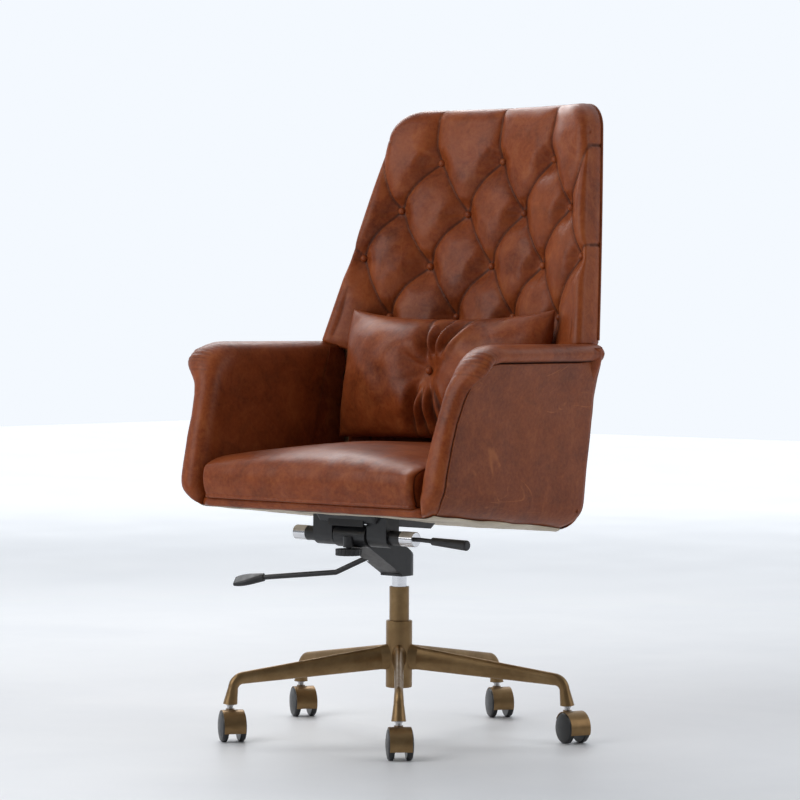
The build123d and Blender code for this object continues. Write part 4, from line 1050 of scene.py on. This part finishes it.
def outer_panel(side, word):
    """The flat leather panel on the arm's outside, tucked into the border's seam."""
    loop = evenly(inset_outline(0.001, 0.001), 0.005)[:-1]
    heart = np.array([0.0, 0.54])
    free = on_free_edge(loop[:, 0], loop[:, 1])
    rings, shade = [], []

    def add_ring(share, outward, dark=0.0):
        """A ring drawn in to a share of the outline, and moved outward from the arm's face."""
        ring = heart + (loop - heart) * np.reshape(share, (-1, 1))
        face = outer_x(ring[:, 0], ring[:, 1]) + outward
        rings.append(xyz(face, ring[:, 0], ring[:, 1]))
        shade.append(np.zeros(len(loop)) + dark)

    for share in np.linspace(0.03, 0.97, 24):
        add_ring(share, -0.010)
    # the tucked edge; along the bottom and the rear it wraps round the arm instead
    for share, sink, free_sink, dark in PANEL_EDGE:
        wrapped = 1.003 if share < 1 else share + 0.003
        add_ring(share + (wrapped - share) * free, -np.where(free > 0.5, free_sink, sink), dark * (1 - free))
    for share in np.linspace(0.96, 0.03, 26):
        add_ring(share, 0.0018 * (1 - share**4))
    points = np.concatenate(rings)
    points[:, 0] = (points[:, 0] + wavy(points, 0.09, 0.0016, 12)) * side
    rings = np.split(points, len(rings))
    return ring_piece(f"outer_panel_{word}", rings, PANEL_LEATHER, np.concatenate(shade), weld=0)


def seam_cord(side, word):
    """The thin turned edge of the outer panel along the border's seam."""
    path = evenly(inset_outline(0.0035, 0.0035), 0.004)
    on_border = on_free_edge(path[:, 0], path[:, 1]) < 0.5
    first = np.argmax(on_border)
    length = np.argmin(np.r_[on_border[first:], False])
    path = path[first : first + length]
    x = outer_x(path[:, 0], path[:, 1]) + 0.0002
    return tube(f"seam_{word}", xyz(x * side, path[:, 0], path[:, 1]), 0.0015, TRIM_LEATHER, 8)


for side, word in ((1, "left"), (-1, "right")):
    arm = arm_body(side, word)
    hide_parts(f"arm_pad_{word}")
    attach(arm, "seat")
    panel = outer_panel(side, word)
    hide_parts(f"side_panel_{word}")
    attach(panel, "seat")
    cord = seam_cord(side, word)
    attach(cord, "seat")

# ---- pillow

PILLOW_CENTRE = (0.0, 0.1305, 0.668)
PILLOW_HALF_WIDTH = 0.247
PILLOW_HALF_HEIGHT = 0.127
PILLOW_HALF_DEPTH = 0.080
# tucks: place across at the button and at the edge, +1 for the upper edge, depth and width
PILLOW_TUCKS = (
    (0.02, -0.10, 1, 0.20, 0.030),
    (0.06, 0.10, 1, 0.26, 0.026),
    (0.10, 0.30, 1, 0.17, 0.034),
    (-0.02, -0.16, -1, 0.24, 0.028),
    (0.00, -0.02, -1, 0.26, 0.024),
    (0.03, 0.12, -1, 0.24, 0.028),
    (0.06, 0.26, -1, 0.14, 0.034),
)
lean_up = Vector((0, LEAN, 1)).normalized()
lean_out = Vector((0, -1, LEAN)).normalized()


def pillow_shape():
    """Front and rear of a knife-edge pillow in its own (across, up, out) coordinates, and the painted shade
    in its folds.
    """
    columns, rows = 121, 65
    u = np.linspace(-1, 1, columns)[:, None] * np.ones(rows)
    v = np.ones(columns)[:, None] * np.linspace(-1, 1, rows)
    full = (1 - abs(u) ** 2.6) ** 0.5 * (1 - abs(v) ** 2.2) ** 0.55
    # the edges are drawn in between the corners
    across = u * PILLOW_HALF_WIDTH * (1 - 0.035 * (1 - v**2))
    drawn = 0.135 * smooth_step(-0.2, 1, v) + 0.03
    up = v * PILLOW_HALF_HEIGHT * (1 - drawn * (1 - abs(u) ** 2.5))
    distance = np.hypot(across, up)
    turn = np.arctan2(up, across)
    rays = 0.8 * np.cos(5 * turn + 1.9) + 0.45 * np.cos(8 * turn + 0.4) + 0.2 * np.cos(13 * turn)
    near = np.exp(-((distance / 0.075) ** 2)) * smooth_step(0.006, 0.040, distance)
    front = full * (1 - 0.45 * np.exp(-((distance / 0.040) ** 2))) + 0.036 * rays * near
    # painted shade round the button and between the gathers
    fold_shade = np.exp(-((distance / 0.010) ** 2)) * 0.8 + np.clip(-rays - 0.7, 0, 1) * near * 0.6
    # deep tucks drawn from the button to the middle of the upper and the lower edge
    for start_u, end_u, sign, depth, width in PILLOW_TUCKS:
        reach = np.clip(v * sign, 0, 1)
        line = start_u + (end_u - start_u) * reach**0.8
        away = (u - line) / (width + 0.02 * reach)
        along = smooth_step(0.12, 0.45, reach) * (1 - 0.25 * smooth_step(0.85, 1.0, reach))
        front -= depth * np.exp(-(away**2)) * along * full * 1.4
        front += 0.6 * depth * np.exp(-((away - 1.9) ** 2)) * along * full
        # painted shade along each tuck
        fold_shade = np.maximum(fold_shade, np.exp(-((away / 0.45) ** 2)) * along * 0.85)
    rear = full * 0.95
    return across, up, front * PILLOW_HALF_DEPTH, -rear * PILLOW_HALF_DEPTH, np.clip(fold_shade, 0, 1)


def pillow():
    """The loose pillow, leaning on the back."""
    across, up, front, rear, fold_shade = pillow_shape()
    columns, rows = across.shape
    points = []
    for sheet in (front, rear):
        y, z = (PILLOW_CENTRE[k] + up * lean_up[k] + sheet * lean_out[k] for k in (1, 2))
        points.append(xyz(PILLOW_CENTRE[0] + across, y, z).reshape(-1, 3))
    shade = np.r_[fold_shade.ravel(), np.zeros(fold_shade.size)]
    faces = grid_faces(columns, rows) + grid_faces(columns, rows, start=columns * rows)
    everything = np.concatenate(points)
    sheets = np.r_[smooth_step(0, 0.03, front.ravel()), -smooth_step(0, 0.03, -rear.ravel())]
    everything[:, 1] += wavy(everything, 0.045, 0.0045, 15) * sheets
    return new_piece("pillow_cover", everything, faces, PILLOW_LEATHER, shade, weld=2e-4)


cushion = pillow()
subdivide(cushion)
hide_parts("lumbar_pillow")
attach(cushion, "pillow")

button_points, button_faces = dome(
    Vector(PILLOW_CENTRE) + lean_out * (PILLOW_HALF_DEPTH * 0.58 + 0.0015), lean_out
)
pillow_cap = new_piece("pillow_cap", button_points, button_faces, PILLOW_LEATHER)
subdivide(pillow_cap)
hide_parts("pillow_button")
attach(pillow_cap, "pillow")

# ---- dust cover


def lining():
    """The cream cloth tacked under the seat; its uneven edge shows below the leather."""
    columns, rows = 90, 90
    points = []
    for j in range(rows):
        share_y = j / (rows - 1)
        for i in range(columns):
            share_x = 2 * i / (columns - 1) - 1
            edge = 0.283 + 0.0035 * noise.noise(Vector((share_y * 9, 2 * np.sign(share_x), 0.5)))
            x = share_x * edge
            rear = float(back_y(x, 0.40, 0.030))
            y = -0.246 + (rear + 0.246) * share_y
            low = BODY_HALF_WIDTH - BODY_EDGE_R
            rise = BODY_EDGE_R - sqrt(BODY_EDGE_R**2 - max(abs(x) - low, 0) ** 2)
            sag = 0.0015 + 0.0012 * noise.noise(Vector((x / 0.05, y / 0.05, 4.0)))
            points.append((x, y, underside_z(y) + rise - sag))
    return new_piece("lining", points, grid_faces(rows, columns), DUST_CLOTH)


cloth = lining()
thickness = cloth.modifiers.new("thickness", "SOLIDIFY")
thickness.thickness = 0.0008
apply_modifiers(cloth)
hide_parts("dust_cover")
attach(cloth, "seat")

# ---- camera, lights and floor

CAMERA_DISTANCE = 5.7
CAMERA_AZIMUTH = 40
CAMERA_HEIGHT = 0.7799
CAMERA_DOWN = 1.583
CAMERA_ROLL = 0.277
CAMERA_LENS = 137.9
CAMERA_ASIDE = -0.00042

azimuth = radians(CAMERA_AZIMUTH)
camera_data = bpy.data.cameras.new("camera")
camera_data.sensor_width = 36
camera_data.lens = CAMERA_LENS
camera_data.clip_end = 50
camera = bpy.data.objects.new("camera", camera_data)
camera.rotation_mode = "XYZ"
camera.location = (
    sin(azimuth) * CAMERA_DISTANCE + cos(azimuth) * CAMERA_ASIDE,
    -cos(azimuth) * CAMERA_DISTANCE + sin(azimuth) * CAMERA_ASIDE,
    CAMERA_HEIGHT,
)
camera.rotation_euler = (radians(90 - CAMERA_DOWN), 0, azimuth)
camera.matrix_world = camera.matrix_basis
camera.rotation_euler.rotate_axis("Z", radians(CAMERA_ROLL))
scene.collection.objects.link(camera)
scene.camera = camera


def area_light(name, place, target, size, power, colour=(1, 1, 1)):
    """A soft square light at place that points at target."""
    data = bpy.data.lights.new(name, "AREA")
    data.shape = "RECTANGLE"
    data.size, data.size_y = size
    data.energy = power
    data.color = colour
    lamp = bpy.data.objects.new(name, data)
    lamp.location = place
    way = Vector(target) - Vector(place)
    lamp.rotation_euler = way.to_track_quat("-Z", "Y").to_euler()
    scene.collection.objects.link(lamp)


def beside_camera(right, toward, up):
    """A point given to the right of, towards and above the chair as the camera sees it."""
    return (
        cos(azimuth) * right + sin(azimuth) * toward,
        sin(azimuth) * right - cos(azimuth) * toward,
        up,
    )


area_light("window", beside_camera(-2.6, 1.5, 2.3), (0, 0, 0.75), (2.6, 2.6), 58, (0.98, 0.99, 1.0))
area_light("fill", beside_camera(2.7, 0.9, 1.7), (0, 0, 0.7), (1.2, 2.2), 15, (1.0, 0.99, 0.98))
area_light("rim", beside_camera(-0.8, -2.4, 2.6), (0, 0, 0.8), (2.4, 1.4), 48)

# the room: white behind the chair, dimmer behind the photographer
BACKGROUND_SEEN = 1.0
ROOM_DIM = 0.17
ROOM_BRIGHT = 0.85
ROOM_COLOUR = (0.905, 0.947, 1.0, 1)
world = bpy.data.worlds.new("studio")
scene.world = world
world.use_nodes = True
room = world.node_tree
background = room.nodes["Background"]
background.inputs["Color"].default_value = ROOM_COLOUR
direction = room.nodes.new("ShaderNodeTexCoord").outputs["Generated"]
facing = room.nodes.new("ShaderNodeVectorMath")
facing.operation = "DOT_PRODUCT"
room.links.new(direction, facing.inputs[0])
facing.inputs[1].default_value = (-sin(azimuth), cos(azimuth), 0.25)
lit = room.nodes.new("ShaderNodeMapRange")
for socket, value in (("From Min", -0.35), ("From Max", 0.75), ("To Min", ROOM_DIM), ("To Max", ROOM_BRIGHT)):
    lit.inputs[socket].default_value = value
room.links.new(facing.outputs["Value"], lit.inputs["Value"])
seen = room.nodes.new("ShaderNodeMix")
seen.inputs["B"].default_value = BACKGROUND_SEEN
room.links.new(room.nodes.new("ShaderNodeLightPath").outputs["Is Camera Ray"], seen.inputs["Factor"])
room.links.new(lit.outputs["Result"], seen.inputs["A"])
room.links.new(seen.outputs["Result"], background.inputs["Strength"])
scene.view_settings.view_transform = "Standard"

FLOOR_HALF = 12.0
floor_nodes = Nodes("pale_floor", Specular_IOR_Level=0.4)
marks = floor_nodes.noise(1.4, 6, 0.6, 0.5)
floor_colour = floor_nodes.ramp(marks, ((0.3, (0.74, 0.75, 0.77)), (0.7, (0.80, 0.805, 0.815))))
floor_rough = floor_nodes.between(floor_nodes.noise(3, 5, 0.6), 0.3, 0.7, 0.35, 0.55)
# far away the floor glows, painted light that fades it into the pale room
floor_way = floor_nodes.put("ShaderNodeVectorMath", {0: floor_nodes.place}, operation="LENGTH")
floor_glow = floor_nodes.between(floor_way.outputs["Value"], 1.0, 7.0, 0.0, 0.62)
floor_nodes.link(floor_glow, floor_nodes.shader.inputs["Emission Strength"])
floor_nodes.shader.inputs["Emission Color"].default_value = ROOM_COLOUR
floor_corners = [(FLOOR_HALF * x, FLOOR_HALF * y, 0) for x, y in ((-1, -1), (1, -1), (1, 1), (-1, 1))]
floor = new_piece("floor", floor_corners, [(0, 1, 2, 3)], floor_nodes.finish(floor_colour, floor_rough))
